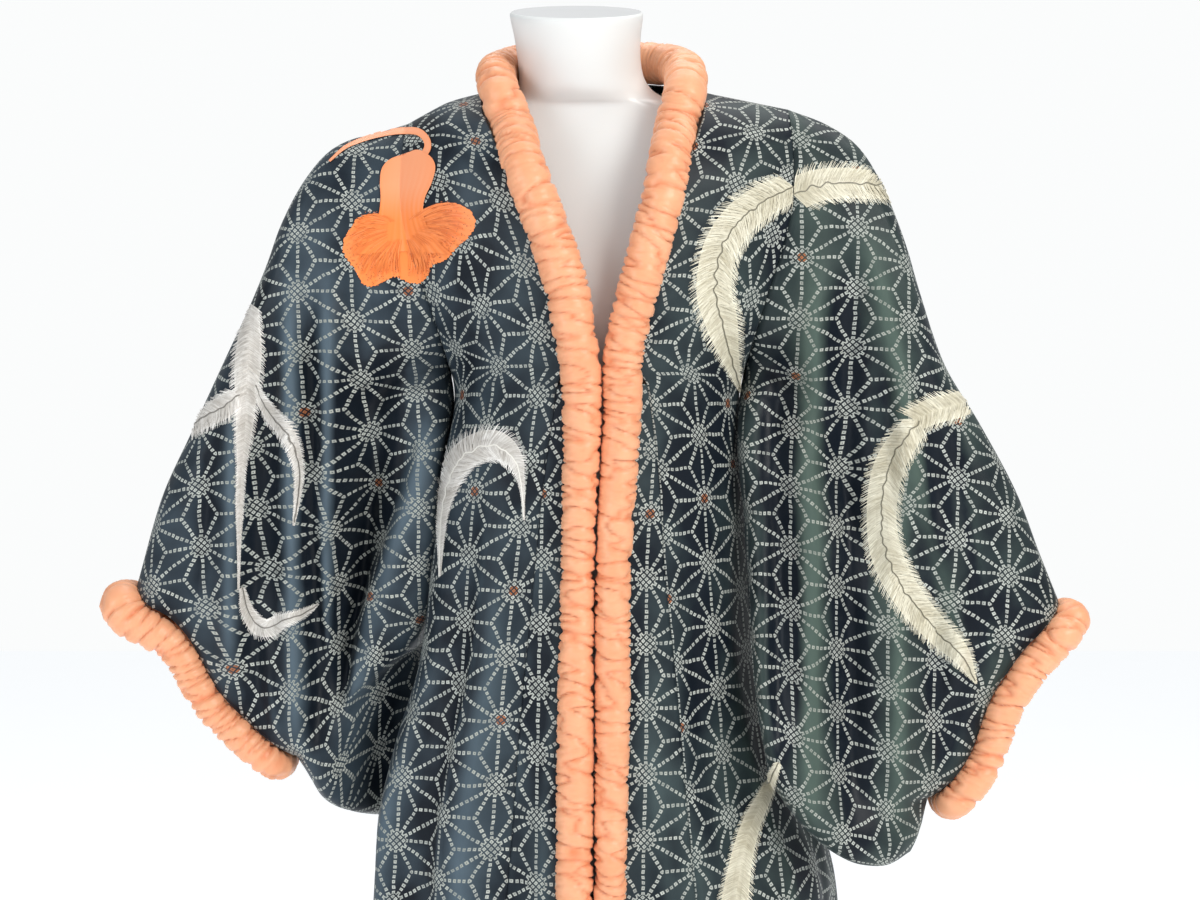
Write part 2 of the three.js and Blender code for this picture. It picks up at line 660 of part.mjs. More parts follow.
// A padded roll with gathers across it: a ring at each crest and each trough
function rollGeometry(curve, waves, radiusAt, outwardAt) {
  const rings = waves * 2;
  const positions = [];
  const indices = [];
  const closed = curve.closed === true;
  const count = closed ? rings : rings + 1;
  for (let ring = 0; ring < count; ring += 1) {
    const part = ring / rings;
    const middle = curve.getPointAt(part);
    const tangent = curve.getTangentAt(part);
    const first = outwardAt(middle).addScaledVector(tangent, -outwardAt(middle).dot(tangent));
    first.normalize();
    const second = new THREE.Vector3().crossVectors(tangent, first);
    const uneven = 0.75 + 0.25 * Math.sin(ring * 1.7);
    const radius = radiusAt(middle) - (ring % 2 === 0 ? gatherDepth * uneven : 0);
    for (let k = 0; k < rollSides; k += 1) {
      const turn = k / rollSides * Math.PI * 2;
      const place = middle.clone().addScaledVector(first, radius * Math.cos(turn))
        .addScaledVector(second, radius * Math.sin(turn));
      positions.push(place.x, place.y, place.z);
    }
  }
  for (let ring = 0; ring < (closed ? count : count - 1); ring += 1) {
    for (let k = 0; k < rollSides; k += 1) {
      const here = ring * rollSides + k;
      const beside = ring * rollSides + (k + 1) % rollSides;
      const ahead = (ring + 1) % count * rollSides + k;
      const across = (ring + 1) % count * rollSides + (k + 1) % rollSides;
      indices.push(here, beside, across, here, across, ahead);
    }
  }
  if (!closed) {
    const end = (count - 1) * rollSides;
    for (let k = 1; k + 1 < rollSides; k += 1) {
      indices.push(0, k + 1, k, end, end + k, end + k + 1);
    }
  }
  const geometry = new THREE.BufferGeometry();
  geometry.setAttribute('position', new THREE.Float32BufferAttribute(positions, 3));
  geometry.setIndex(indices);
  return geometry;
}

function frontRollPoint(side, z) {
  const out = rollOut(side, z);
  const edge = bodyPoint(side, 'front', angleAt(side, z, out), z);
  return new THREE.Vector3(sideSign[side] * out, edge.y + wall / 2, z);
}

function neckRollGeometry() {
  const heights = [hemHeight + 2, 240, 400, 560, 700, 800, 910, 1024, 1100, 1160, 1200, 1225, 1251, 1275,
    1300, 1325, 1350, 1375, 1400];
  const leftSide = heights.map((z) => frontRollPoint('left', z));
  const rightSide = heights.map((z) => frontRollPoint('right', z)).reverse();
  const neck = behindNeck.map(({ x, y, z }) => new THREE.Vector3(x, y, z));
  const curve = new THREE.CatmullRomCurve3([...leftSide, ...neck, ...rightSide]);
  curve.arcLengthDivisions = 2000;
  const radiusAt = (place) => rollRadius(place.x > -5 ? 'left' : 'right', Math.min(place.z, 1440));
  const outwardAt = (place) => new THREE.Vector3(place.x, place.y, 0);
  return rollGeometry(curve, gathers.neck, radiusAt, outwardAt);
}

function cuffRollGeometry(side) {
  const lines = sleeveOutlines(side);
  const halfCount = 9;
  const step = 0.03;
  const highest = lines.outer(0).z;
  const lowest = lines.outer(cuffPart).z;
  const radiusAt = (z) => {
    const part = ease(0.1, 0.4, (highest - z) / (highest - lowest));
    return mix(cuffRadius[side].top, cuffRadius[side].foot, part);
  };
  const loop = [];
  const surfaces = { front: sleeveSurface(side, 'front'), back: sleeveSurface(side, 'back') };
  for (let k = 0; k < halfCount * 2; k += 1) {
    const face = k < halfCount ? 'front' : 'back';
    const turn = k / halfCount;
    const part = k < halfCount ? turn : 2 - turn;
    const v = cuffPart * 0.5 * (1 - Math.cos(Math.PI * part));
    const before = lines.outer(Math.max(v - step, 0));
    const down = lines.outer(Math.min(v + step, cuffPart)).sub(before).normalize();
    const edge = surfaces[face](1, v);
    const reach = radiusAt(edge.z) + 0.8;
    const out = edge.x - sideSign[side] * down.z * reach;
    loop.push(new THREE.Vector3(out, edge.y, edge.z + down.x * reach));
  }
  const curve = new THREE.CatmullRomCurve3(loop, true);
  curve.arcLengthDivisions = 600;
  const away = new THREE.Vector3(sideSign[side] * 0.85, 0, -0.53); // out of the sleeve's mouth
  return rollGeometry(curve, gathers.cuff, (place) => radiusAt(place.z), () => away.clone());
}

// The dress form: oval sections from the hips to the neck's cap, tilted forward up the neck
const form = [
  { z: 826, half: 92, deep: 62, x: 0, y: 4, tilt: 0 },
  { z: 829, half: 114, deep: 78, x: 0, y: 4, tilt: 0 },
  { z: 838, half: 128, deep: 88, x: 0, y: 3, tilt: 0 },
  { z: 858, half: 134, deep: 91, x: 0, y: 3, tilt: 0 },
  { z: 890, half: 132, deep: 91, x: 0, y: 2, tilt: 0 },
  { z: 950, half: 122, deep: 86, x: 0, y: 0, tilt: 0 },
  { z: 1020, half: 112, deep: 80, x: 0, y: -1, tilt: 0 },
  { z: 1090, half: 113, deep: 83, x: 0, y: -2, tilt: 0 },
  { z: 1160, half: 116, deep: 90, x: 0, y: -3, tilt: 0 },
  { z: 1215, half: 121, deep: 91, x: 0, y: -2, tilt: 0 },
  { z: 1260, half: 136, deep: 87, x: 0, y: 0, tilt: 0 },
  { z: 1300, half: 158, deep: 80, x: 0, y: 3, tilt: 0 },
  { z: 1335, half: 176, deep: 72, x: 0, y: 5, tilt: 0 },
  { z: 1362, half: 184, deep: 63, x: 0, y: 6, tilt: 0 },
  { z: 1382, half: 179, deep: 55, x: 0, y: 7, tilt: 0 },
  { z: 1397, half: 165, deep: 49, x: 0, y: 7, tilt: 0 },
  { z: 1408, half: 146, deep: 46, x: 0, y: 6, tilt: 0 },
  { z: 1417, half: 118, deep: 44, x: -1, y: 4, tilt: 1 },
  { z: 1422, half: 90, deep: 44, x: -4, y: 2, tilt: 2 },
  { z: 1427, half: 70, deep: 46, x: -8, y: 0, tilt: 4 },
  { z: 1437, half: 58, deep: 49, x: -12, y: -4, tilt: 6 },
  { z: 1453, half: 54, deep: 51, x: -15, y: -8, tilt: 9 },
  { z: 1478, half: 55, deep: 54, x: -17, y: -15, tilt: 11 },
  { z: 1498, half: 58, deep: 57, x: -18, y: -20, tilt: 12 },
  { z: 1500.5, half: 56.5, deep: 55.5, x: -18, y: -20.5, tilt: 12 },
];
const formSides = 32;

function formGeometry() {
  const positions = [];
  const indices = [];
  for (const section of form) {
    const tilt = THREE.MathUtils.degToRad(section.tilt);
    for (let k = 0; k < formSides; k += 1) {
      const turn = k / formSides * Math.PI * 2;
      const deep = section.deep * Math.sin(turn);
      positions.push(
        section.x + section.half * Math.cos(turn),
        section.y + deep * Math.cos(tilt),
        section.z + deep * Math.sin(tilt),
      );
    }
  }
  for (let ring = 0; ring + 1 < form.length; ring += 1) {
    for (let k = 0; k < formSides; k += 1) {
      const here = ring * formSides + k;
      const beside = ring * formSides + (k + 1) % formSides;
      indices.push(here, beside, beside + formSides, here, beside + formSides, here + formSides);
    }
  }
  const cap = (form.length - 1) * formSides;
  for (let k = 1; k + 1 < formSides; k += 1) {
    indices.push(0, k + 1, k, cap, cap + k, cap + k + 1);
  }
  const geometry = new THREE.BufferGeometry();
  geometry.setAttribute('position', new THREE.Float32BufferAttribute(positions, 3));
  geometry.setIndex(indices);
  return geometry;
}

// The stand under the form
const stand = { baseRadius: 185, plate: 9, bossRadius: 34, bossTop: 24, poleRadius: 14, poleTop: 825.7 };

function baseGeometry() {
  const { baseRadius, plate, bossRadius, bossTop } = stand;
  const profile = [
    [0, 0], [baseRadius, 0], [baseRadius, plate - 3], [baseRadius - 3, plate],
    [bossRadius + 12, plate + 2], [bossRadius, plate + 5], [bossRadius - 6, bossTop], [0, bossTop],
  ];
  const lathe = new THREE.LatheGeometry(profile.map(([x, y]) => new THREE.Vector2(x, y)), 48);
  return lathe.rotateX(Math.PI / 2);
}

function poleGeometry() {
  const height = stand.poleTop - stand.bossTop - seamGap;
  return new THREE.CylinderGeometry(stand.poleRadius, stand.poleRadius, height, 24).rotateX(Math.PI / 2);
}

const silk = { color: 0x24343c, roughness: 0.5, metalness: 0 };
const peach = { color: 0xf5a070, roughness: 0.45, metalness: 0 };
const enamel = { color: 0xe6e6e4, roughness: 0.35, metalness: 0 };
const steel = { color: 0xc8c8c8, roughness: 0.25, metalness: 1 };

function piece(name, geometry, finish) {
  const mesh = new THREE.Mesh(geometry, new THREE.MeshStandardMaterial(finish));
  mesh.name = name;
  return mesh;
}

const robe = new THREE.Group();
for (const side of ['left', 'right']) {
  robe.add(piece(`body_${side}`, bodyGeometry(side), silk));
  robe.add(piece(`overlap_${side}`, overlapGeometry(side), silk));
  robe.add(piece(`sleeve_${side}`, sleeveGeometry(side), silk));
  robe.add(piece(`cuff_roll_${side}`, cuffRollGeometry(side), peach));
}
robe.add(piece('neck_roll', neckRollGeometry(), peach));

const dressForm = new THREE.Group();
dressForm.add(piece('form', formGeometry(), enamel));
const pole = piece('pole', poleGeometry(), steel);
pole.position.z = (stand.poleTop + stand.bossTop + seamGap) / 2;
dressForm.add(pole);
dressForm.add(piece('base', baseGeometry(), enamel));

const part = new THREE.Group();
part.add(robe, dressForm);

export default part;
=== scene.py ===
import math
import random

import bpy
import numpy as np
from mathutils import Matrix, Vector, noise
from mathutils.bvhtree import BVHTree


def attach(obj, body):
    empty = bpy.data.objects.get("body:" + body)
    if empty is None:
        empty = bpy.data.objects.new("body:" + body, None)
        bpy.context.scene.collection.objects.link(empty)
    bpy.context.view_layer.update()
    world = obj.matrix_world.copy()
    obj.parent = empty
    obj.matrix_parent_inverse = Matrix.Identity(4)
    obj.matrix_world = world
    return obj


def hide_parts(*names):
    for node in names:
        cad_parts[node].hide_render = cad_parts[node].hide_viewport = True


# A patterned silk kimono with gathered roll edges on a limbless dress form.
# The tables are in millimetres, in the frame's own axes. The wearer's left is +X and the front faces -Y.
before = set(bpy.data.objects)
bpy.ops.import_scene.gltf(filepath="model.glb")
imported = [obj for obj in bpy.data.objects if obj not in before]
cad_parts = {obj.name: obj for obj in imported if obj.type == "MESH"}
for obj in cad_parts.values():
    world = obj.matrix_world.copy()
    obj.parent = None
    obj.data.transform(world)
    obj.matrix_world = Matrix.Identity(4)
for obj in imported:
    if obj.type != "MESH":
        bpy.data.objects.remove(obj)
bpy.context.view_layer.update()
mm = 0.001
sideSign = {"left": 1, "right": -1}
faceSign = {"front": -1, "back": 1}


# curves and tables

def table(columns, rows):
    values = np.array(rows, float)
    return {name: values[:, k] for k, name in enumerate(columns.split())}


# smooth curve through one column of a table
def along(rows, column, place, at):
    x, y = rows[place], rows[column]
    sign = np.sign(x[-1] - x[0])
    at = np.asarray(at, float)
    last = len(x) - 1
    k = np.clip(np.searchsorted(x * sign, at * sign, side="left") - 1, 0, last - 1)
    before, after = np.maximum(k - 1, 0), np.minimum(k + 2, last)
    span = x[k + 1] - x[k]
    t = np.clip((at - x[k]) / span, 0, 1)
    slopeHere = (y[k + 1] - y[before]) / (x[k + 1] - x[before]) * span
    slopeNext = (y[after] - y[k]) / (x[after] - x[k]) * span
    return (y[k] * (2 * t**3 - 3 * t**2 + 1) + slopeHere * (t**3 - 2 * t**2 + t)
            + y[k + 1] * (3 * t**2 - 2 * t**3) + slopeNext * (t**3 - t**2))


def mix(a, b, t):
    return a + (b - a) * t


def ease(low, high, at):
    t = np.clip((np.asarray(at, float) - low) / (high - low), 0, 1)
    return t * t * (3 - 2 * t)


# quarter round, 0 at the edge and 1 at the given reach
def rounded(distance, reach):
    t = 1 - np.clip(distance / reach, 0, 1)
    return np.sqrt(1 - t * t)


# centripetal spline through points, as a dense line and its running length
def smoothPath(points, closed=False, samples=40):
    p = np.array(points, float)
    n = len(p)
    t = np.linspace(0, 1, samples, endpoint=False)[:, None]
    line = []
    for k in range(n if closed else n - 1):
        here, there = p[k], p[(k + 1) % n]
        before = p[k - 1] if closed or k > 0 else 2 * here - there
        after = p[(k + 2) % n] if closed or k + 2 < n else 2 * there - here
        d0, d1, d2 = (max(np.linalg.norm(b - a), 1e-4) ** 0.5
                      for a, b in ((before, here), (here, there), (there, after)))
        leave = ((here - before) / d0 - (there - before) / (d0 + d1) + (there - here) / d1) * d1
        arrive = ((there - here) / d1 - (after - here) / (d1 + d2) + (after - there) / d2) * d1
        line.append(here * (2 * t**3 - 3 * t**2 + 1) + leave * (t**3 - 2 * t**2 + t)
                    + there * (3 * t**2 - 2 * t**3) + arrive * (t**3 - t**2))
    line.append(p[:1] if closed else p[-1:])
    line = np.concatenate(line)
    reach = np.concatenate([[0], np.cumsum(np.linalg.norm(np.diff(line, axis=0), axis=1))])
    return line, reach


def pointAt(path, part):
    line, reach = path
    at = np.clip(part, 0, 1) * reach[-1]
    return np.stack([np.interp(at, reach, line[:, k]) for k in range(line.shape[1])], -1)


# the robe's body

robe = {"hem": 78, "armpit": 1180, "ridge": 1424, "shoulderRound": 92, "roundness": 1.8,
        "neckHalf": {"left": 92, "right": 99}, "seamGap": 0.3, "thickness": 0.9,
        "rowsLow": 165, "rowsHigh": 35, "columns": 40, "backColumns": 18, "overlapColumns": 16,
        "underRoll": 6}    # how far the cut edge runs in under the roll
oval = table("z right left front back rightBack leftBack", [
    (78, 214, 226, 132, 138, 0, 0), (300, 208, 224, 128, 134, -4, 4),
    (560, 202, 222, 124, 130, -12, 10), (700, 199, 218, 121, 127, -24, 24),
    (750, 197, 211, 120, 125, -28, 30), (800, 193, 188, 119, 122, -30, 30),
    (860, 178, 166, 117, 116, -31, 30), (930, 157, 152, 114, 109, -31, 30),
    (1010, 146, 144, 112, 103, -30, 28), (1100, 136, 136, 114, 103, -24, 20),
    (1180, 128, 128, 118, 105, 0, 0), (1240, 166, 166, 120, 107, 0, 0),
    (1300, 194, 194, 118, 107, 0, 0), (1370, 206, 206, 113, 104, 0, 0),
    (1424, 210, 210, 108, 101, 0, 0)])
armhole = table("z out", [(1180, 128), (1220, 137), (1260, 148), (1300, 160), (1340, 168),
                          (1380, 169), (1424, 167)])
shoulderFold = table("out right left", [(80, 1436, 1436), (100, 1432, 1431), (130, 1424, 1425),
                                        (150, 1414, 1421), (170, 1403, 1417)])
neckline = table("part rise y", [(0, 14, 79), (0.4, 13, 72), (0.72, 9, 51), (0.9, 4, 18), (1, 0, 0)])
frontRoll = table("z meet left right", [
    (78, -3, 14.2, 15), (400, -3, 14, 15.5), (735, -3, 13.7, 16), (910, -2.2, 15, 15.6),
    (1024, -1.5, 15, 14.4), (1100, 2, 15.8, 15.6), (1160, 4.5, 16.5, 16.8), (1200, 5, 17, 17.6),
    (1251, 5, 17.6, 18.7), (1330, 5, 18.2, 18.6), (1402, 5, 18.6, 18.6), (1440, 5, 18.6, 17.4)])
neckOpening = table("z left right", [
    (1196, 19.5, 17), (1251, 32, 23), (1291, 43, 34.5), (1340, 55.5, 52.5), (1375, 62.5, 65),
    (1402, 68.5, 73), (1430, 74, 80)])
overlapWidth = table("z left right", [(78, 118, 112), (400, 92, 84), (717, 60, 46), (900, 42, 32),
                                      (1090, 20, 16), (1180, 3, 3)])

# folds round the body: at is the angle from the opening to the centre back, lean its drift to the hem
bodyFolds = {
    "left": table("at width rise top lean", [
        (26, 9, 5, 900, 2), (44, 10, -8, 1000, 3), (62, 10, 11, 760, 4), (82, 9, -12, 800, 2),
        (104, 10, 11, 860, -2), (124, 10, -12, 980, -3), (143, 10, 9, 900, -3),
        (160, 8, -7, 1050, -2),
        (18, 4, 2.4, 1010, 3), (36, 4, -3.2, 1120, 4), (53, 4, 3.4, 1060, 5), (72, 4, -3, 990, 3)]),
    "right": table("at width rise top lean", [
        (22, 8, -5, 1080, 2), (37, 8, 7, 1120, 3), (52, 8, -7, 1140, 4), (68, 9, 9, 1020, 4),
        (86, 9, -10, 800, 2), (106, 10, 12, 880, -2), (127, 10, -11, 960, -3),
        (146, 9, 9, 900, -3), (162, 8, -7, 1020, -2),
        (15, 4, 2.4, 1090, 3), (30, 4, -3.6, 1170, 3), (44, 4, 3.8, 1150, 4), (60, 4, -3.4, 1120, 5)]),
}
foldLook = {"fade": 260, "ridgeNarrower": 2.1, "fullWearAndSheenAt": 8}    # ridges are painted pale: partly real wear, partly a painted sheen highlight


def foldRise(folds, degrees, z):
    rise = np.zeros(np.broadcast(degrees, z).shape)
    for at, width, height, top, lean in zip(*(folds[c] for c in "at width rise top lean".split())):
        across = (degrees - at - lean * (top - z) / top) / width
        rise += height * ease(0, foldLook["fade"], top - z) * np.exp(-across * across)
    return rise * ease(2, 14, degrees) * ease(2, 14, 180 - degrees)


def topHeight(side, face, out):
    fold = along(shoulderFold, side, "out", np.maximum(out, robe["neckHalf"][side]))
    if face == "front":
        return fold
    return fold + along(neckline, "rise", "part", out / robe["neckHalf"][side])


# a point of the robe's outer surface, at an angle from the middle, 0, to the side, a quarter turn
def bodyPoint(side, face, angle, nominal):
    angle, nominal = np.broadcast_arrays(np.asarray(angle, float), np.asarray(nominal, float))
    power = 2 / robe["roundness"]
    out = along(oval, side, "z", nominal) * np.sin(angle) ** power
    depth = along(oval, face, "z", nominal) * np.maximum(np.cos(angle), 0) ** power
    top = topHeight(side, face, out)
    rise = np.maximum(nominal - robe["armpit"], 0) / (robe["ridge"] - robe["armpit"])
    z = np.where(nominal <= robe["armpit"], nominal, mix(robe["armpit"], top, rise))
    upright = rounded(top - z, robe["shoulderRound"])
    degrees = np.degrees(angle)
    around = degrees if face == "front" else 180 - degrees
    fold = foldRise(bodyFolds[side], around, z) * upright
    out = out + fold * np.sin(angle)
    depth = depth * upright + fold * np.cos(angle)
    y = faceSign[face] * depth + along(oval, side + "Back", "z", nominal) * np.sin(angle) ** 3
    if face == "back":
        y = y + along(neckline, "y", "part", out / robe["neckHalf"][side]) * (1 - upright)
    return np.stack([sideSign[side] * out, y, z], -1)


def angleAt(side, nominal, out):
    part = np.clip(out / along(oval, side, "z", nominal), 0, 1)
    return np.arcsin(part ** (robe["roundness"] / 2))


def rollOut(side, z):
    half = along(frontRoll, side, "z", z) + 0.4
    touching = sideSign[side] * along(frontRoll, "meet", "z", z) + half
    return mix(touching, along(neckOpening, side, "z", z), ease(1190, 1215, z))


def edgeOut(side, nominal):
    radius = along(frontRoll, side, "z", nominal) * (1 + 0.16 * ease(1190, 1260, nominal))
    beside = rollOut(side, nominal) + radius + 0.5
    return mix(beside, robe["neckHalf"][side], ease(1385, robe["ridge"], nominal))


def seamOut(side, nominal):
    width = np.where(nominal > robe["armpit"], 0, along(overlapWidth, side, "z", nominal))
    tuck = np.where(nominal > robe["armpit"], robe["underRoll"] * (1 - ease(1340, 1400, nominal)), 0)
    return edgeOut(side, nominal) + width - tuck


def armholeOut(nominal):
    return np.where(nominal <= robe["armpit"], 1000, along(armhole, "out", "z", nominal))


def bodyHeights(high=True):
    low = np.linspace(robe["hem"], robe["armpit"], robe["rowsLow"] + 1)
    up = np.linspace(0, 1, robe["rowsHigh"] + 1)[1:]
    return np.concatenate([low, mix(robe["armpit"], robe["ridge"], 1 - (1 - up) ** 2)]) if high else low


# angles across one row, through the given stops with a number of columns between each two
def acrossRow(stops, counts):
    parts = [np.linspace(a, b, n, endpoint=False).T for a, b, n in zip(stops, stops[1:], counts)]
    return np.concatenate([*parts, stops[-1][:, None]], 1)


# lengths along the cloth, so that a printed pattern lies on it undistorted
def flatPlaces(points, firstAcross, firstUp):
    out = np.abs(points[..., 0])
    y, z = points[..., 1], points[..., 2]
    steps = np.hypot(np.diff(out, axis=1), np.diff(y, axis=1))
    across = np.concatenate([firstAcross[:, None], firstAcross[:, None] + np.cumsum(steps, axis=1)], 1)
    riseZ, riseY = np.diff(z, axis=0), np.diff(y, axis=0)
    up = np.concatenate([firstUp[None, :],
                         firstUp[None, :] + np.cumsum(np.hypot(riseZ, riseY), axis=0)], 0)
    return np.stack([across, up], -1)


def evened(field, passes):
    for _ in range(passes):
        wide = np.pad(field, ((1, 1), (1, 1)) + ((0, 0),) * (field.ndim - 2), mode="edge")
        field = (wide[:-2, 1:-1] + wide[2:, 1:-1] + wide[1:-1, :-2] + wide[1:-1, 2:] + field * 2) / 6
    return field


settling = {"rounds": 260, "evenedSteps": 40, "longStep": 0.35, "evenedPush": 6, "hurry": 1.5,
            "stretch": 1.05}    # the cloth settles better from stretched than from crowded


# places on the flat cloth, shifted smoothly until each step is about as long as on the hanging cloth
def relaxedPlaces(points):
    passes = settling["evenedSteps"]
    out, y, z = np.abs(points[..., 0]), points[..., 1], points[..., 2]
    extra = np.hypot(np.diff(out, axis=1), np.diff(y, axis=1)) - np.abs(np.diff(out, axis=1))
    across = out + np.pad(np.cumsum(evened(extra, passes), axis=1), ((0, 0), (1, 0)))
    extra = np.hypot(np.diff(z, axis=0), np.diff(y, axis=0)) - np.abs(np.diff(z, axis=0))
    up = z - np.pad(np.cumsum(evened(extra, passes), axis=0), ((1, 0), (0, 0)))
    flat = np.stack([across, up], -1)
    flat = mix(flat.mean(axis=(0, 1)), flat, settling["stretch"])
    every, first, last = slice(None), slice(None, -1), slice(1, None)
    pairs = [((every, first), (every, last)), ((first, every), (last, every)),
             ((first, first), (last, last)), ((first, last), (last, first))]
    lengths = [np.linalg.norm(points[a] - points[b], axis=-1) for a, b in pairs]
    for _ in range(settling["rounds"]):
        push, count = np.zeros(flat.shape), np.zeros(flat.shape[:2])
        for (a, b), length in zip(pairs, lengths):
            away = flat[b] - flat[a]
            now = np.maximum(np.linalg.norm(away, axis=-1), 1e-6)
            part = 0.5 * (1 - length / now)
            fix = away * np.where(part < 0, np.maximum(part, -0.5) * settling["longStep"], part)[..., None]
            push[a] += fix
            push[b] -= fix
            count[a] += 1
            count[b] += 1
        flat += evened(push / count[..., None], settling["evenedPush"]) * settling["hurry"]
    return flat


# mesh pieces

collection = bpy.context.scene.collection
clothSurface = {"points": [], "faces": []}    # what the embroidery is laid on


def addMesh(name, points, faces, material, replaces=()):
    mesh = bpy.data.meshes.new(name)
    mesh.from_pydata((np.asarray(points) * mm).tolist(), [], faces)
    mesh.polygons.foreach_set("use_smooth", [True] * len(mesh.polygons))
    mesh.update()
    piece = bpy.data.objects.new(name, mesh)
    collection.objects.link(piece)
    for surface in material if isinstance(material, list) else [material]:
        mesh.materials.append(surface)
    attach(piece, "root")
    if replaces:
        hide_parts(*replaces)
    return piece


# rings of points joined into a tube, with a flat end at each side unless it closes on itself
def tubeFaces(rings, sides, closed=False):
    faces = []
    for ring in range(rings if closed else rings - 1):
        here, ahead = ring * sides, (ring + 1) % rings * sides
        for k in range(sides):
            beside = (k + 1) % sides
            faces.append([here + k, here + beside, ahead + beside, ahead + k])
    if not closed:
        last = (rings - 1) * sides
        faces += [list(range(sides))[::-1], [last + k for k in range(sides)]]
    return faces


def pointValues(piece, name, values):
    attribute = piece.data.attributes.new(name, "FLOAT", "POINT")
    attribute.data.foreach_set("value", np.asarray(values, np.float32))


# one piece of cloth from welded patches: each has points, flat places, wear with painted fold shading and the
# way it faces
def clothPiece(name, patches, material, node):
    points, flat, wearAndFoldShading, faces = [], [], [], []
    places = {}
    for patch in patches:
        grid = patch["points"]
        rows, columns = grid.shape[:2]
        index = np.empty((rows, columns), int)
        for i in range(rows):
            for j in range(columns):
                key = tuple(np.round(grid[i, j] * 20).astype(int))
                if key not in places:
                    places[key] = len(points)
                    points.append(grid[i, j])
                    wearAndFoldShading.append(patch["wearAndFoldShading"][i, j])
                index[i, j] = places[key]
        across = grid[1:, 1:] - grid[:-1, :-1]
        over = grid[1:, :-1] - grid[:-1, 1:]
        normal = np.cross(across, over)
        flip = np.sum(normal[..., 1]) * patch["facing"] < 0
        for i in range(rows - 1):
            for j in range(columns - 1):
                ring = [(i, j), (i, j + 1), (i + 1, j + 1), (i + 1, j)]
                corners = [(index[c], patch["flat"][c]) for c in ring]
                kept = [c for k, c in enumerate(corners) if c[0] != corners[(k + 1) % 4][0]]
                if len(kept) < 3:
                    continue
                kept = kept[::-1] if flip else kept
                faces.append([int(c[0]) for c in kept])
                flat.extend(c[1] for c in kept)
    piece = addMesh(name, points, faces, material, [node])
    layer = piece.data.uv_layers.new(name="cloth")
    layer.data.foreach_set("uv", (np.array(flat) * mm).ravel())
    pointValues(piece, "wearAndFoldShading", wearAndFoldShading)
    start = len(clothSurface["points"])
    clothSurface["points"].extend(points)
    clothSurface["faces"].extend([[k + start for k in face] for face in faces])
    shell = piece.modifiers.new("thickness", "SOLIDIFY")
    shell.thickness = robe["thickness"] * mm
    shell.offset = -1


# small unevenness of hanging silk, long and soft down the cloth, in its shape and in its fading
uneven = {"rippleSpan": (26, 40, 120), "bodyRipple": 0.9, "sleeveRipple": 1.3,
          "wearSpan": (34, 60, 150), "wearPart": 0.5}


def unevenness(grid, seed, span, height):
    out = np.empty(grid.shape[:2])
    for i, j in np.ndindex(out.shape):
        x, y, z = grid[i, j] / uneven[span]
        out[i, j] = noise.noise(Vector((x + seed, y, z)))
    return out * uneven[height]


def patternWear(grid, seed):
    return unevenness(grid, seed, "wearSpan", "wearPart")


# pale ridges of the body's folds: partly real wear, partly a painted sheen highlight
def ridgeWearAndSheen(folds, degrees, z):
    wearAndFoldShading = np.zeros(np.broadcast(degrees, z).shape)
    for at, width, height, top, lean in zip(*(folds[c] for c in "at width rise top lean".split())):
        if height > 0:
            across = (degrees - at - lean * (top - z) / top) / width * foldLook["ridgeNarrower"]
            full = min(height / foldLook["fullWearAndSheenAt"], 1)
            wearAndFoldShading += full * ease(0, foldLook["fade"], top - z) * np.exp(-across * across)
    return wearAndFoldShading


# where one star of the pattern lies on each piece: across the cloth from its inner edge, and up it
starAt = {"body_left": (48, 1025), "body_right": (65, 1032), "overlap_left": (14, 1015),
          "overlap_right": (17, 1032), "sleeve_left": (222, 1297), "sleeve_right": (257, 1072)}


def softenedBody(grid, side, seed):
    reach = np.linalg.norm(grid[..., :2], axis=-1, keepdims=True)
    held = ease(robe["armpit"] - 60, robe["armpit"], grid[..., 2])
    amount = unevenness(grid, seed, "rippleSpan", "bodyRipple") * (1 - held * 0.8)
    grid[..., :2] += grid[..., :2] / reach * amount[..., None]
    return grid


def bodyPiece(side, material, seed):
    heights = bodyHeights()
    outer = angleAt(side, heights, armholeOut(heights))
    patches = []
    for face in ("front", "back"):
        if face == "front":
            inner = angleAt(side, heights, seamOut(side, heights))
            angles = acrossRow([inner, outer], [robe["columns"]])
        else:
            centre = angleAt(side, heights, robe["seamGap"] / 2)
            top = angleAt(side, robe["ridge"], robe["neckHalf"][side])
            split = mix(0.43, top, ease(robe["armpit"], robe["ridge"], heights))
            angles = acrossRow([centre, split, outer], [robe["backColumns"], robe["columns"]])
        grid = bodyPoint(side, face, angles, heights[:, None])
        flat = flatPlaces(grid, np.zeros(len(heights)), np.full(grid.shape[1], robe["hem"]))
        if face == "back":    # the pattern runs on over the shoulder without a seam
            front = patches[0]["flat"]
            flat[..., 0] += front[-1, -1, 0] + starAt[f"body_{side}"][0] - flat[-1, -1, 0]
            flat[..., 1] = front[-1, -1, 1] + starAt[f"body_{side}"][1] + flat[-1, :, 1].mean() - flat[..., 1]
        around = np.degrees(angles) if face == "front" else 180 - np.degrees(angles)
        # painted sheen on the fold ridges, added to patches of real wear
        wearAndFoldShading = ridgeWearAndSheen(bodyFolds[side], around, grid[..., 2]) + patternWear(grid, seed)
        grid = softenedBody(grid, side, seed)
        patches.append({"points": grid, "flat": flat - starAt[f"body_{side}"], "wearAndFoldShading": wearAndFoldShading,
                        "facing": faceSign[face]})
    clothPiece(f"bodyCloth.{side}", patches, material, f"body_{side}")


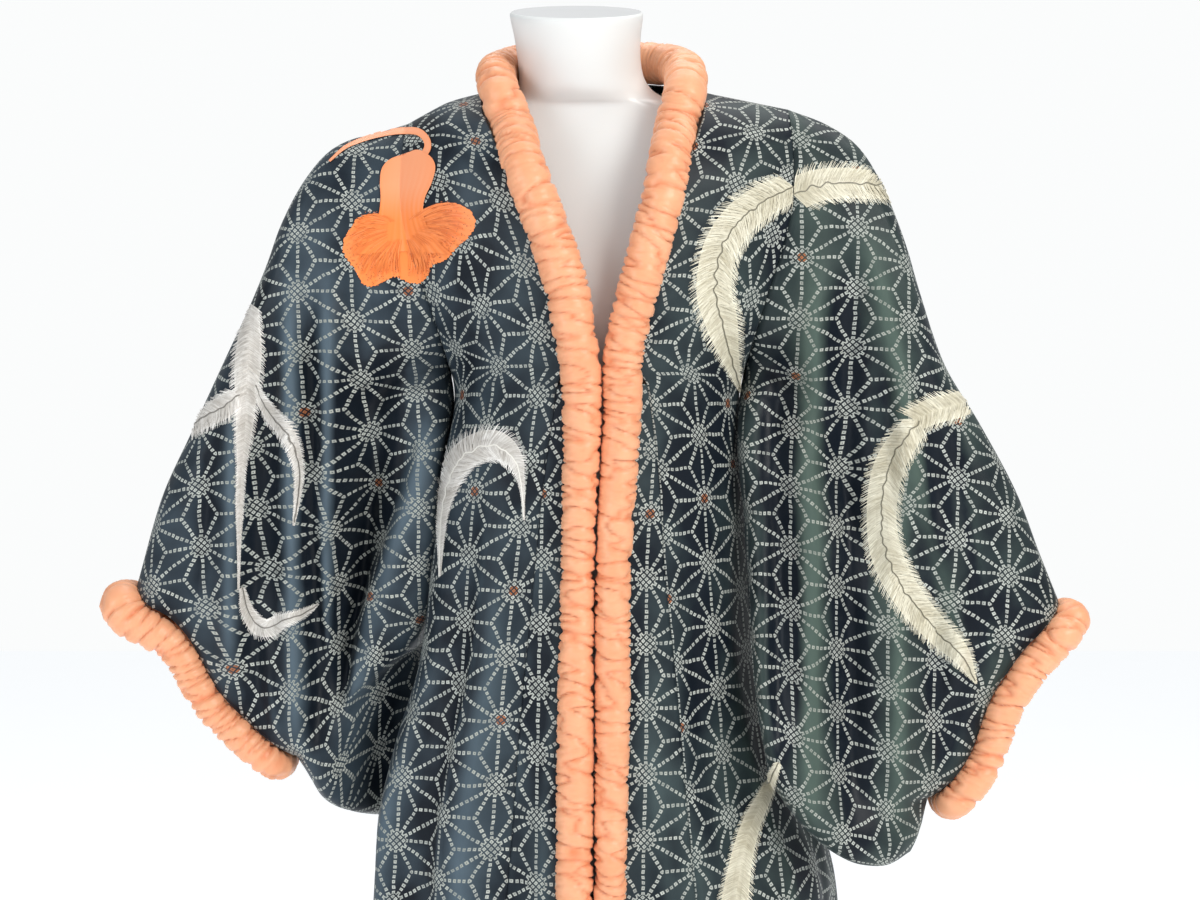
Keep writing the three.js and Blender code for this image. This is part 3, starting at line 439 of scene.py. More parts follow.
def overlapPiece(side, material, seed):
    heights = bodyHeights(high=False)
    inner = angleAt(side, heights, edgeOut(side, heights) - robe["underRoll"])
    outer = angleAt(side, heights, seamOut(side, heights) - robe["seamGap"])
    angles = acrossRow([inner, outer], [robe["overlapColumns"]])
    grid = bodyPoint(side, "front", angles, heights[:, None])
    flat = flatPlaces(grid, np.full(len(heights), -robe["underRoll"]), np.full(grid.shape[1], robe["hem"]))
    wearAndFoldShading = ridgeWearAndSheen(bodyFolds[side], np.degrees(angles), grid[..., 2]) + patternWear(grid, seed)
    patch = {"points": softenedBody(grid, side, seed), "flat": flat - starAt[f"overlap_{side}"],
             "wearAndFoldShading": wearAndFoldShading, "facing": -1}
    clothPiece(f"overlapCloth.{side}", [patch], material, f"overlap_{side}")


# sleeves: outlines seen from the front, as places outward from the robe's middle and up

sleeveShape = {"rows": 90, "columns": 64, "highPart": 7 / 18, "cuffPart": 0.8, "mouthGap": 27,
               "underarmGap": 7, "fullness": (52, 44, 34), "round": (55, 45, 60, 45, 220),
               "bottomFlatter": 0.55, "creaseRoom": 25, "lapFoot": (162, 946, -0.91), "lapDrop": 9,
               "ridgeNarrower": 1.8, "fullWearAndSheenAt": 12,
               "flatCreases": 0.3}    # the pattern is laid out on cloth with shallower creases
creaseColumns = "topOut topZ footOut footZ width rise"
sleeves = {
    "left": {
        "topFold": [(201, 1405), (228, 1387), (248, 1357), (270, 1303), (284, 1258), (306, 1196),
                    (339, 1141), (372, 1080), (393, 1026), (410, 984)],
        "cuff": [(392, 961), (375, 943), (363, 926), (351, 908), (341, 885), (334, 862), (322, 838),
                 (297, 809)],
        "belowCuff": [(288, 785), (276, 765)],
        "bottom": [(252, 754), (230, 756), (212, 765), (192, 781), (170, 806), (148, 838)],
        "innerEdge": [(131, 1150), (131, 1080), (132, 1000), (137, 910)],
        "forward": {"middle": -28, "bottom": -88, "cuff": -10, "corner": -44}, "hug": (1000, 1090),
        "lap": table("z edge atBody atEdge", [(1060, 150, 0, 0), (1100, 149, 8, 2), (1150, 147, 15, 5),
                                              (1170, 145, 9, 3), (1183, 143, 0, 0)]),
        "front": table(creaseColumns, [
            (185, 1335, 183, 790, 17, 15), (158, 1230, 157, 860, 12, -15), (213, 1300, 222, 800, 14, -17),
            (228, 1335, 322, 900, 16, 13), (262, 1180, 262, 800, 14, 11), (292, 1150, 300, 850, 12, -11),
            (205, 1250, 212, 860, 7, 3), (245, 1240, 268, 930, 6, -3.5), (300, 1190, 345, 930, 6, -4),
            (318, 1120, 352, 900, 6, 3.5), (330, 960, 300, 830, 7, -5), (174, 1200, 170, 880, 6, -3)]),
        "back": table(creaseColumns, [
            (190, 1320, 200, 790, 20, 12), (232, 1280, 240, 800, 18, -12), (270, 1250, 300, 880, 18, 10),
            (212, 1240, 222, 850, 7, -3), (255, 1220, 270, 860, 7, 3.5), (300, 1150, 330, 900, 7, -4)]),
    },
    "right": {
        "topFold": [(198, 1396), (218, 1391), (236, 1381), (257, 1356), (277, 1318), (290, 1283),
                    (308, 1241), (328, 1200), (361, 1130), (385, 1078), (408, 1000)],
        "cuff": [(395, 984), (375, 972), (359, 954), (346, 931), (334, 908), (314, 886), (293, 866),
                 (268, 846)],
        "belowCuff": [(257, 828), (248, 809)],
        "bottom": [(226, 792), (208, 784), (190, 781), (172, 790)],
        "innerEdge": [(132, 1150), (142, 1090), (151, 1015), (156, 955), (159, 912), (169, 866)],
        "forward": {"middle": 26, "bottom": 44, "cuff": -12, "corner": -8}, "hug": (915, 985),
        "lap": table("z edge atBody atEdge", [
            (890, 219, 0, 20), (955, 212, 38, 26), (1020, 194, 44, 24), (1095, 168, 37, 23),
            (1125, 160, 27, 14), (1150, 154, 17, 6), (1170, 152, 10, 3), (1183, 150, 0, 0)]),
        "front": table(creaseColumns, [
            (180, 1230, 226, 900, 14, -25), (203, 1205, 214, 985, 19, -10), (232, 1290, 236, 960, 12, 15),
            (249, 1270, 246, 850, 10, -12), (266, 1310, 264, 860, 12, 12), (290, 1230, 300, 900, 12, -12),
            (314, 1190, 322, 930, 12, 11),
            (208, 1260, 206, 1040, 7, -4), (278, 1240, 283, 960, 6, -4), (246, 1130, 236, 920, 6, 4),
            (335, 1130, 350, 990, 6, -4), (300, 1010, 280, 860, 7, 4), (190, 1100, 206, 960, 5, 3)]),
        "back": table(creaseColumns, [
            (190, 1310, 196, 820, 20, 12), (228, 1270, 234, 850, 18, -12), (266, 1260, 290, 900, 18, 10),
            (210, 1240, 216, 860, 7, -3), (250, 1220, 262, 870, 7, 3.5), (300, 1150, 320, 930, 7, -4)]),
    },
}


def seamPlace(side, face, part):
    nominal = mix(robe["armpit"], robe["ridge"], 1 - part * part)
    point = bodyPoint(side, face, angleAt(side, nominal, armholeOut(nominal)), nominal)
    shift = robe["seamGap"] + 0.5 * (1 - ease(robe["armpit"], robe["armpit"] + 60, nominal))
    return np.abs(point[..., 0]) + shift, point[..., 2], np.abs(point[..., 1])


def creaseSum(creases, out, z, wearAndShadingOnly=False):
    total = np.zeros(out.shape)
    for topOut, topZ, footOut, footZ, width, rise in zip(*(creases[c] for c in creaseColumns.split())):
        part = (topZ - z) / (topZ - footZ)
        across = (out - mix(topOut, footOut, part)) / width
        shape = ease(0, 0.25, part) * (1 - ease(0.8, 1.1, part))
        # pale ridges are partly real wear, partly a painted sheen highlight; the darker valleys are painted
        # shade
        if wearAndShadingOnly:
            pale = max(rise, 0) * np.exp(-(across * sleeveShape["ridgeNarrower"]) ** 2)
            dark = min(rise, 0) * np.exp(-across ** 2)
            total += (pale + dark) / sleeveShape["fullWearAndSheenAt"] * shape
        else:
            total += rise * shape * np.exp(-across * across)
    return total


# the front layer of one sleeve laps forward beside the body, down to its open lower edge
def lapRise(lap, inner, out, z):
    edge = along(lap, "edge", "z", z)
    part = np.clip((out - inner) / (edge - inner), 0, 1)
    rise = mix(along(lap, "atBody", "z", z), along(lap, "atEdge", "z", z), part)
    footOut, footZ, slope = sleeveShape["lapFoot"]
    drop = sleeveShape["lapDrop"]
    foot = footZ + slope * (out - footOut)
    return rise * (1 - ease(-2, drop - 2, out - edge)) * ease(-drop / 2, drop / 2, z - foot)


def sleeveOutlines(side):
    sleeve = sleeves[side]
    seamTop = [float(c) for c in seamPlace(side, "front", np.array(0.0))[:2]]
    seamFoot = [float(c) for c in seamPlace(side, "front", np.array(1.0))[:2]]
    return {"top": smoothPath([seamTop, *sleeve["topFold"]]),
            "mouth": smoothPath([sleeve["topFold"][-1], *sleeve["cuff"]]),
            "belowMouth": smoothPath([sleeve["cuff"][-1], *sleeve["belowCuff"]]),
            "bottom": smoothPath([sleeve["belowCuff"][-1], *sleeve["bottom"]]),
            "lower": smoothPath([seamFoot, *sleeve["innerEdge"], sleeve["bottom"][-1]])}


def outerEdge(lines, v):
    cuffPart = sleeveShape["cuffPart"]
    mouth = pointAt(lines["mouth"], v / cuffPart)
    below = pointAt(lines["belowMouth"], (v - cuffPart) / (1 - cuffPart))
    return np.where((v <= cuffPart)[..., None], mouth, below)


# the sleeve's surface on a grid, u outward along the fold and v from the fold down, with its wear, its
# painted shading (sheen on the ridges, shade in the valleys) and the share of the creases that each place
# takes
def sleeveSurface(side, face, u, v, creasePart=1):
    sleeve, lines, s = sleeves[side], sleeveOutlines(side), sleeveShape
    u, v = np.broadcast_arrays(u, v)
    high = s["highPart"]
    top, bottom = pointAt(lines["top"], u), pointAt(lines["bottom"], 1 - u)
    seamOutward, seamZ, seamDepth = seamPlace(side, face, np.clip(v / high, 0, 1))
    frontOut, frontZ, _ = seamPlace(side, "front", np.clip(v / high, 0, 1))
    lower = pointAt(lines["lower"], (v - high) / (1 - high))
    inner = np.where((v > high)[..., None], lower, np.stack([frontOut, frontZ], -1))
    outer = outerEdge(lines, v)
    t, w = v[..., None], u[..., None]
    ends = [pointAt(lines[name], np.array(p)) for name, p in
            (("top", 0.0), ("bottom", 1.0), ("top", 1.0), ("bottom", 0.0))]
    corners = mix(mix(ends[0], ends[1], t), mix(ends[2], ends[3], t), w)
    place = mix(top, bottom, t) + mix(inner, outer, w) - corners
    low = np.maximum(v - high, 0) / (1 - high)
    mouthLength = lines["mouth"][1][-1]
    mouthAlong = np.minimum(v / s["cuffPart"], 1) * mouthLength
    gap = s["mouthGap"]
    mouth = gap * rounded(mouthAlong, gap) * rounded(mouthLength - mouthAlong, gap)
    underarm = s["underarmGap"] * np.sqrt(ease(0.1, 0.35, low) * (1 - ease(0.75, 0.98, low)))
    seam = np.where(v < high, seamDepth, underarm)
    roundTop, roundBottom, roundOuter, roundInner, innerSpan = s["round"]
    length = np.linalg.norm(top - bottom, axis=-1)
    full = rounded(v * length, roundTop) * rounded((1 - v) * length, roundBottom)
    full = full * (1 - s["bottomFlatter"] * low * (1 - ease(0.2, 0.8, u)))
    full = full * mix(mix(s["fullness"][0], s["fullness"][1], u), s["fullness"][2], u * u)
    fromOuter = rounded((1 - u) * np.linalg.norm(top - inner, axis=-1), roundOuter)
    fromInner = np.where(v < high, ease(0, 0.35, u), rounded(u * innerSpan, roundInner))
    half = mix(seam, mix(mouth, full, fromOuter), fromInner)
    forward = sleeve["forward"]
    innerMiddle = mix(forward["middle"] * ease(0, 0.22, low), forward["bottom"], ease(0.2, 1, low))
    middle = mix(innerMiddle, mix(forward["cuff"] * 0.4, forward["corner"], v), ease(0, 1, u))
    middle = mix(middle, forward["cuff"], u * u * (1 - ease(0.8, 1, v)))
    edges = np.minimum(half / s["creaseRoom"], 1) * ease(0, 0.12, u) * ease(0, 0.12, 1 - u)
    out, z = place[..., 0], place[..., 1]
    relief = creaseSum(sleeve[face], out, z) * edges * creasePart
    # painted sheen on the crease ridges and painted shade in the crease valleys
    wearAndFoldShading = creaseSum(sleeve[face], out, z, wearAndShadingOnly=True) * edges
    if face == "front":    # the lap's own ridge is painted pale too, partly wear and partly a painted sheen highlight
        lap = sleeve["lap"]
        relief = relief + lapRise(lap, inner[..., 0], out, z)
        fromRidge = (out - along(lap, "edge", "z", z) + 4) / 10
        wearAndFoldShading = wearAndFoldShading + along(lap, "atEdge", "z", z) / 22 * np.exp(-fromRidge ** 2) * ease(880, 915, z)
    y = middle + faceSign[face] * (half + relief)
    return np.stack([sideSign[side] * out, y, z], -1), wearAndFoldShading, edges


# below the armhole the inner edge lies against the body
def besideBody(side, grid, u, v):
    y, z = grid[:, 0, 1], grid[:, 0, 2]
    near = np.where(y < 0, along(oval, "front", "z", z), along(oval, "back", "z", z))
    part = np.clip(1 - (np.abs(y) / near) ** robe["roundness"], 0, 1) ** (1 / robe["roundness"])
    limit = along(oval, side, "z", z) * part + 0.8
    held = ease(*sleeves[side]["hug"], z) * (v[:, 0] > sleeveShape["highPart"])
    shift = (limit - np.abs(grid[:, 0, 0])) * held
    grid[..., 0] += sideSign[side] * shift[:, None] * (1 - ease(0, 0.3, u))


def sleevePiece(side, material, seed):
    u = np.linspace(0, 1, sleeveShape["columns"] + 1)[None, :]
    v = np.linspace(0, 1, sleeveShape["rows"] + 1)[:, None]
    patches = []
    for face in ("front", "back"):
        grid, wearAndFoldShading, edges = sleeveSurface(side, face, u, v)
        besideBody(side, grid, u, v)
        smooth = sleeveSurface(side, face, u, v, sleeveShape["flatCreases"])[0]
        besideBody(side, smooth, u, v)
        flat = relaxedPlaces(smooth)
        wearAndFoldShading = wearAndFoldShading + patternWear(grid, seed) + 0.15
        grid[..., 1] += faceSign[face] * unevenness(grid, seed, "rippleSpan", "sleeveRipple") * edges
        patches.append({"points": grid, "flat": flat - starAt[f"sleeve_{side}"], "wearAndFoldShading": wearAndFoldShading,
                        "facing": faceSign[face]})
    clothPiece(f"sleeveCloth.{side}", patches, material, f"sleeve_{side}")


# padded rolls, with gathers pulled across them

ruche = {"ring": 1.3, "sides": 26, "puff": 8.5, "fine": 3.4, "sharp": 3.4, "fineSharp": 3.0,
         "depth": 3.5, "fineDepth": 1.0, "rise": 0.5, "fill": 0.6}


def rollPiece(name, path, closed, radiusAt, outwardAt, material, nodes, seed):
    line, reach = path
    count = int(reach[-1] / ruche["ring"])
    parts = np.linspace(0, 1, count, endpoint=not closed)
    middles = pointAt(path, parts)
    tangents = np.gradient(middles, axis=0)
    if closed:
        tangents = np.roll(middles, -1, 0) - np.roll(middles, 1, 0)
    tangents /= np.linalg.norm(tangents, axis=1, keepdims=True)
    points, crease = [], []
    for ring in range(count):
        middle, tangent = middles[ring], tangents[ring]
        first = outwardAt(middle)
        first = first - tangent * np.dot(first, tangent)
        first /= np.linalg.norm(first)
        second = np.cross(tangent, first)
        radius = radiusAt(middle)
        place = parts[ring] * reach[-1]
        for k in range(ruche["sides"]):
            turn = k / ruche["sides"] * math.tau
            c, s = math.cos(turn), math.sin(turn)
            if closed:    # the same gathers where the loop meets itself
                around = place / reach[-1] * math.tau
                around += (c * 0.35 + s * 0.15) * ruche["puff"] / reach[-1] * math.tau
                spot = Vector((math.cos(around), math.sin(around), 0))
                spot *= reach[-1] / math.tau / ruche["puff"]
                spot += Vector((0, 0, c * 0.3 + s * 0.22 + seed))
            else:
                spot = Vector((place / ruche["puff"] + c * 0.3 + s * 0.2, c * 0.42 + seed, s * 0.42))
            puff = abs(noise.noise(spot))
            fine = abs(noise.noise(spot * (ruche["puff"] / ruche["fine"]) + Vector((7, 3, 1))))
            valley = (1 - min(puff * ruche["sharp"], 1)) ** 2
            small = (1 - min(fine * ruche["fineSharp"], 1)) ** 2
            dip = ruche["depth"] * valley + ruche["fineDepth"] * small - ruche["rise"]
            points.append(middle + (first * c + second * s) * (radius - dip))
            # painted shade: the deepest gathers are marked for a darker orange
            crease.append(valley ** 2.5 * 0.75 + small * 0.1)
    piece = addMesh(name, points, tubeFaces(count, ruche["sides"], closed), material, nodes)
    pointValues(piece, "crease", crease)


behindNeck = [(75, -56, 1427), (77, -24, 1445), (73, 12, 1454), (60, 43, 1461), (34, 65, 1465),
              (-4, 72, 1466), (-40, 65, 1465), (-68, 42, 1461), (-84, 10, 1453), (-88, -24, 1445),
              (-83, -56, 1427)]
rollHeights = [80, 240, 400, 560, 700, 800, 910, 1024, 1100, 1160, 1200, 1225, 1251, 1275, 1300,
               1325, 1350, 1375, 1400]
cuffRadius = {"left": (16, 15), "right": (19, 14)}    # at the top and at the foot of the mouth
cuffReach = (0.035, 0.965)    # the part of the mouth that the roll's middle runs along


def frontRollPlace(side, z):
    out = float(rollOut(side, z))
    edge = bodyPoint(side, "front", angleAt(side, z, out), z)
    return (sideSign[side] * out, float(edge[1]) + 1.25, z)


def neckRoll(material):
    leftSide = [frontRollPlace("left", z) for z in rollHeights]
    rightSide = [frontRollPlace("right", z) for z in rollHeights][::-1]
    path = smoothPath([*leftSide, *behindNeck, *rightSide])

    def radiusAt(place):
        return float(along(frontRoll, "left" if place[0] > -5 else "right", "z", min(place[2], 1440)))

    rollPiece("neckRollCloth", path, False, radiusAt,
              lambda place: np.array([place[0], place[1], 0]), material, ["neck_roll"], 3)


def cuffRoll(side, material, seed):
    lines, half = sleeveOutlines(side), 12
    cuffPart = sleeveShape["cuffPart"]
    highest, lowest = (float(outerEdge(lines, np.array(v))[1]) for v in (0.0, cuffPart))

    def radiusAt(z):
        top, foot = cuffRadius[side]
        return float(mix(top, foot, ease(0.1, 0.4, (highest - z) / (highest - lowest))))

    loop = []
    for k in range(half * 2):
        part = k / half if k < half else 2 - k / half
        v = np.array(cuffPart * mix(*cuffReach, 0.5 * (1 - math.cos(math.pi * part))))
        down = outerEdge(lines, np.minimum(v + 0.03, cuffPart)) - outerEdge(lines, np.maximum(v - 0.03, 0))
        down /= np.linalg.norm(down)
        edge = sleeveSurface(side, "front" if k < half else "back", np.array(1.0), v)[0]
        reach = radiusAt(edge[2]) + 0.3
        loop.append((edge[0] - sideSign[side] * down[1] * reach, edge[1], edge[2] + down[0] * reach))
    away = np.array([sideSign[side] * 0.85, 0, -0.53])
    rollPiece(f"cuffRollCloth.{side}", smoothPath(loop, closed=True), True,
              lambda place: radiusAt(place[2]), lambda place: away, material, [f"cuff_roll_{side}"], seed)


# shader nodes

def addNode(tree, kind, inputs=None, **settings):
    node = tree.nodes.new(kind)
    for name, value in settings.items():
        setattr(node, name, value)
    for key, value in (inputs or {}).items():
        if isinstance(value, bpy.types.NodeSocket):
            tree.links.new(value, node.inputs[key])
        else:
            node.inputs[key].default_value = value
    return node


def maths(tree, operation, *values):
    return addNode(tree, "ShaderNodeMath", dict(enumerate(values)), operation=operation).outputs[0]


def blend(tree, factor, a, b):
    node = addNode(tree, "ShaderNodeMix", {0: factor, 6: a, 7: b}, data_type="RGBA")
    return node.outputs[2]


def effect(name, inputs, outputs):
    tree = bpy.data.node_groups.new(name, "ShaderNodeTree")
    for label, kind, value in inputs:
        socket = tree.interface.new_socket(label, in_out="INPUT", socket_type=f"NodeSocket{kind}")
        if value is not None:
            socket.default_value = value
    for label, kind in outputs:
        tree.interface.new_socket(label, in_out="OUTPUT", socket_type=f"NodeSocket{kind}")
    return tree, tree.nodes.new("NodeGroupInput").outputs, tree.nodes.new("NodeGroupOutput")


def useEffect(tree, group, inputs):
    return addNode(tree, "ShaderNodeGroup", inputs, node_tree=group).outputs


# small hollow squares in rows along a line: reach along it, away from it, their pitch and half size
def hollowSquares():
    tree, given, out = effect("Hollow squares", [
        ("Along", "Float", 0), ("Across", "Float", 0), ("Pitch", "Float", 4.6), ("Half Size", "Float", 1.42),
        ("Hole", "Float", 0.42)], [("Mask", "Float")])
    nearest = maths(tree, "WRAP", given["Along"], maths(tree, "MULTIPLY", given["Pitch"], 0.5),
                    maths(tree, "MULTIPLY", given["Pitch"], -0.5))
    away = maths(tree, "MAXIMUM", maths(tree, "ABSOLUTE", nearest), maths(tree, "ABSOLUTE", given["Across"]))
    edge = maths(tree, "MULTIPLY", maths(tree, "SUBTRACT", given["Half Size"], away), 2.2)
    inside = addNode(tree, "ShaderNodeClamp", {0: maths(tree, "ADD", edge, 0.5)}).outputs[0]
    rim = maths(tree, "MULTIPLY", maths(tree, "SUBTRACT", away, given["Hole"]), 2.2)
    outsideHole = addNode(tree, "ShaderNodeClamp", {0: maths(tree, "ADD", rim, 0.5), 1: 0.25}).outputs[0]
    tree.links.new(maths(tree, "MULTIPLY", inside, outsideHole), out.inputs["Mask"])
    return tree


# the hemp-leaf pattern: stars on a triangular grid, six long and six short rows of squares from each
def hempLeaf(squares):
    tree, given, out = effect("Hemp leaf", [
        ("Place", "Vector", None), ("Side", "Float", 55.5), ("Half Size", "Float", 1.42),
        ("Wobble", "Float", 0.7)], [("Dots", "Float"), ("Heart", "Float"), ("Star", "Float")])
    drift = addNode(tree, "ShaderNodeTexNoise", {"Vector": given["Place"], "Scale": 0.09, "Detail": 1.0})
    middle = addNode(tree, "ShaderNodeVectorMath", {0: drift.outputs["Color"], 1: (0.5, 0.5, 0.5)},
                     operation="SUBTRACT")
    moved = addNode(tree, "ShaderNodeVectorMath", {0: middle.outputs[0]}, operation="SCALE")
    tree.links.new(maths(tree, "MULTIPLY", given["Wobble"], 4), moved.inputs["Scale"])
    place = addNode(tree, "ShaderNodeVectorMath", {0: given["Place"], 1: moved.outputs[0]}, operation="ADD")
    split = addNode(tree, "ShaderNodeSeparateXYZ", {0: place.outputs[0]}).outputs
    halfHigh = maths(tree, "MULTIPLY", given["Side"], 0.5)
    halfWide = maths(tree, "MULTIPLY", given["Side"], math.sqrt(3) / 2)
    tries = []
    for shift in (0, 1):
        x = maths(tree, "SUBTRACT", split["X"], maths(tree, "MULTIPLY", halfWide, shift))
        y = maths(tree, "SUBTRACT", split["Y"], maths(tree, "MULTIPLY", halfHigh, shift))
        x = maths(tree, "WRAP", x, halfWide, maths(tree, "MULTIPLY", halfWide, -1))
        y = maths(tree, "WRAP", y, halfHigh, maths(tree, "MULTIPLY", halfHigh, -1))
        squared = [maths(tree, "POWER", c, 2) for c in (x, y)]
        reach = maths(tree, "SQRT", maths(tree, "ADD", *squared))
        tries.append((x, y, reach))
    second = maths(tree, "GREATER_THAN", tries[0][2], tries[1][2])
    x, y, reach = (addNode(tree, "ShaderNodeMix", {0: second, 2: a, 3: b}).outputs[0]
                   for a, b in zip(*tries))
    turn = maths(tree, "ARCTAN2", y, x)
    sixth = math.pi / 6
    rows = []
    for start, pieces in ((0, 7 * math.sqrt(3)), (sixth, 12)):
        near = maths(tree, "WRAP", maths(tree, "SUBTRACT", turn, start), sixth, -sixth)
        rows.append(useEffect(tree, squares, {
            "Along": maths(tree, "MULTIPLY", reach, maths(tree, "COSINE", near)),
            "Across": maths(tree, "MULTIPLY", reach, maths(tree, "SINE", near)),
            "Pitch": maths(tree, "DIVIDE", given["Side"], pieces), "Half Size": given["Half Size"]})[0])
    lines = maths(tree, "MAXIMUM", *rows)
    pitch = maths(tree, "DIVIDE", given["Side"], 13.6)
    a = maths(tree, "MULTIPLY", maths(tree, "ADD", x, y), math.sqrt(0.5))
    b = maths(tree, "MULTIPLY", maths(tree, "SUBTRACT", x, y), math.sqrt(0.5))
    halfPitch = maths(tree, "MULTIPLY", pitch, 0.5)
    b = maths(tree, "WRAP", b, halfPitch, maths(tree, "MULTIPLY", halfPitch, -1))
    net = useEffect(tree, squares, {"Along": a, "Across": b, "Pitch": pitch,
                                    "Half Size": maths(tree, "MULTIPLY", given["Half Size"], 0.98)})[0]
    heart = maths(tree, "LESS_THAN", reach, maths(tree, "DIVIDE", given["Side"], 6.6))
    dots = addNode(tree, "ShaderNodeMix", {0: heart, 2: lines, 3: net}).outputs[0]
    star = addNode(tree, "ShaderNodeCombineXYZ", {0: maths(tree, "SUBTRACT", split["X"], x),
                                                  1: maths(tree, "SUBTRACT", split["Y"], y)})
    cell = addNode(tree, "ShaderNodeVectorMath", {0: star.outputs[0], 1: (9, 9, 9)}, operation="SNAP")
    chance = addNode(tree, "ShaderNodeTexWhiteNoise", {"Vector": cell.outputs[0]})
    tree.links.new(dots, out.inputs["Dots"])
    tree.links.new(maths(tree, "LESS_THAN", reach, 4.5), out.inputs["Heart"])
    tree.links.new(chance.outputs["Value"], out.inputs["Star"])
    return tree


def startMaterial(name, **fixed):
    material = bpy.data.materials.new(name)
    material.use_nodes = True
    tree = material.node_tree
    tree.nodes.clear()
    shader = tree.nodes.new("ShaderNodeBsdfPrincipled")
    for label, value in fixed.items():
        shader.inputs[label.replace("_", " ")].default_value = value
    tree.links.new(shader.outputs[0], tree.nodes.new("ShaderNodeOutputMaterial").inputs["Surface"])
    return material, tree, shader


# the ground runs from deep to pale colour: the pale end is partly real wear and partly a painted sheen
# highlight on the ridges, the deep end in the valleys is painted shade; the squares dim under the painted
# sheen
silkLook = {
    "deep": (0.003, 0.0046, 0.0085, 1), "deepPatches": (0.0095, 0.0155, 0.024, 1),
    "fadedAndSheenBlue": (0.078, 0.112, 0.142, 1), "fadedAndSheenGreen": (0.066, 0.098, 0.084, 1),
    "squares": (0.55, 0.58, 0.54, 1), "wornAndSheenSquares": (0.36, 0.38, 0.34, 1),
    "heart": (0.42, 0.15, 0.06, 1), "heartAbove": 0.86,    # stars with a higher chance have a rust heart
    "freshAndShadeAt": 0.35, "wornAndSheenAt": 1.6, "relief": 0.0006}


def silkMaterial(hemp):
    material, tree, shader = startMaterial("Patterned silk", Sheen_Weight=0.04, Sheen_Roughness=0.4,
                                           Sheen_Tint=(0.7, 0.85, 0.95, 1), Specular_IOR_Level=0.15)
    uv = addNode(tree, "ShaderNodeUVMap", uv_map="cloth")
    place = addNode(tree, "ShaderNodeVectorMath", {0: uv.outputs[0]}, operation="SCALE")
    place.inputs["Scale"].default_value = 1000
    pattern = useEffect(tree, hemp, {"Place": place.outputs[0]})
    wearAndFoldShading = addNode(tree, "ShaderNodeAttribute", attribute_name="wearAndFoldShading").outputs["Fac"]
    patches = addNode(tree, "ShaderNodeTexNoise", {"Vector": place.outputs[0], "Scale": 0.022, "Detail": 2.0})
    # mix of real wear with painted sheen on ridges and painted shade in valleys
    wearAndShadingMix = addNode(tree, "ShaderNodeMapRange", {0: maths(tree, "ADD", wearAndFoldShading, patches.outputs["Fac"]),
                                                1: silkLook["freshAndShadeAt"], 2: silkLook["wornAndSheenAt"]})
    deep = blend(tree, patches.outputs["Fac"], silkLook["deep"], silkLook["deepPatches"])
    spot = addNode(tree, "ShaderNodeTexCoord").outputs["Object"]
    aside = addNode(tree, "ShaderNodeSeparateXYZ", {0: spot}).outputs["X"]
    # painted light tint: the pale colour is bluer on the cool fill lamp's side and greener on the warm key
    # lamp's side
    warmLightSide = addNode(tree, "ShaderNodeMapRange", {0: aside, 1: -0.12, 2: 0.16})
    fadedAndSheen = blend(tree, warmLightSide.outputs[0], silkLook["fadedAndSheenBlue"], silkLook["fadedAndSheenGreen"])
    # painted sheen and painted shade laid into the ground colour
    ground = blend(tree, wearAndShadingMix.outputs[0], deep, fadedAndSheen)
    strength = addNode(tree, "ShaderNodeTexNoise", {"Vector": place.outputs[0], "Scale": 0.11, "Detail": 2.0})
    fade = addNode(tree, "ShaderNodeMapRange", {0: strength.outputs["Fac"], 1: 0.3, 2: 0.62, 3: 0.5, 4: 0.95})
    # the squares dim where the painted sheen and the wear are strongest
    white = blend(tree, wearAndShadingMix.outputs[0], silkLook["squares"], silkLook["wornAndSheenSquares"])
    chosen = maths(tree, "GREATER_THAN", pattern["Star"], silkLook["heartAbove"])
    rust = maths(tree, "MULTIPLY", chosen, pattern["Heart"])
    dye = blend(tree, rust, white, silkLook["heart"])
    colour = blend(tree, maths(tree, "MULTIPLY", pattern["Dots"], fade.outputs[0]), ground, dye)
    tree.links.new(colour, shader.inputs["Base Color"])
    gloss = addNode(tree, "ShaderNodeMapRange", {0: wearAndShadingMix.outputs[0], 3: 0.4, 4: 0.58})
    tree.links.new(gloss.outputs[0], shader.inputs["Roughness"])
    crepe = addNode(tree, "ShaderNodeTexNoise", {"Vector": place.outputs[0], "Scale": 0.9, "Detail": 3.0})
    relief = maths(tree, "ADD", maths(tree, "MULTIPLY", crepe.outputs["Fac"], 0.5), pattern["Dots"])
    bump = addNode(tree, "ShaderNodeBump", {"Height": relief, "Strength": 0.35,
                                            "Distance": silkLook["relief"]})
    tree.links.new(bump.outputs[0], shader.inputs["Normal"])
    return material


# the crease colour is painted shade in the gathers
trimLook = {"deep": (0.79, 0.31, 0.15, 1), "pale": (0.86, 0.455, 0.265, 1), "crease": (0.72, 0.2, 0.08, 1),
            "relief": 0.0007}


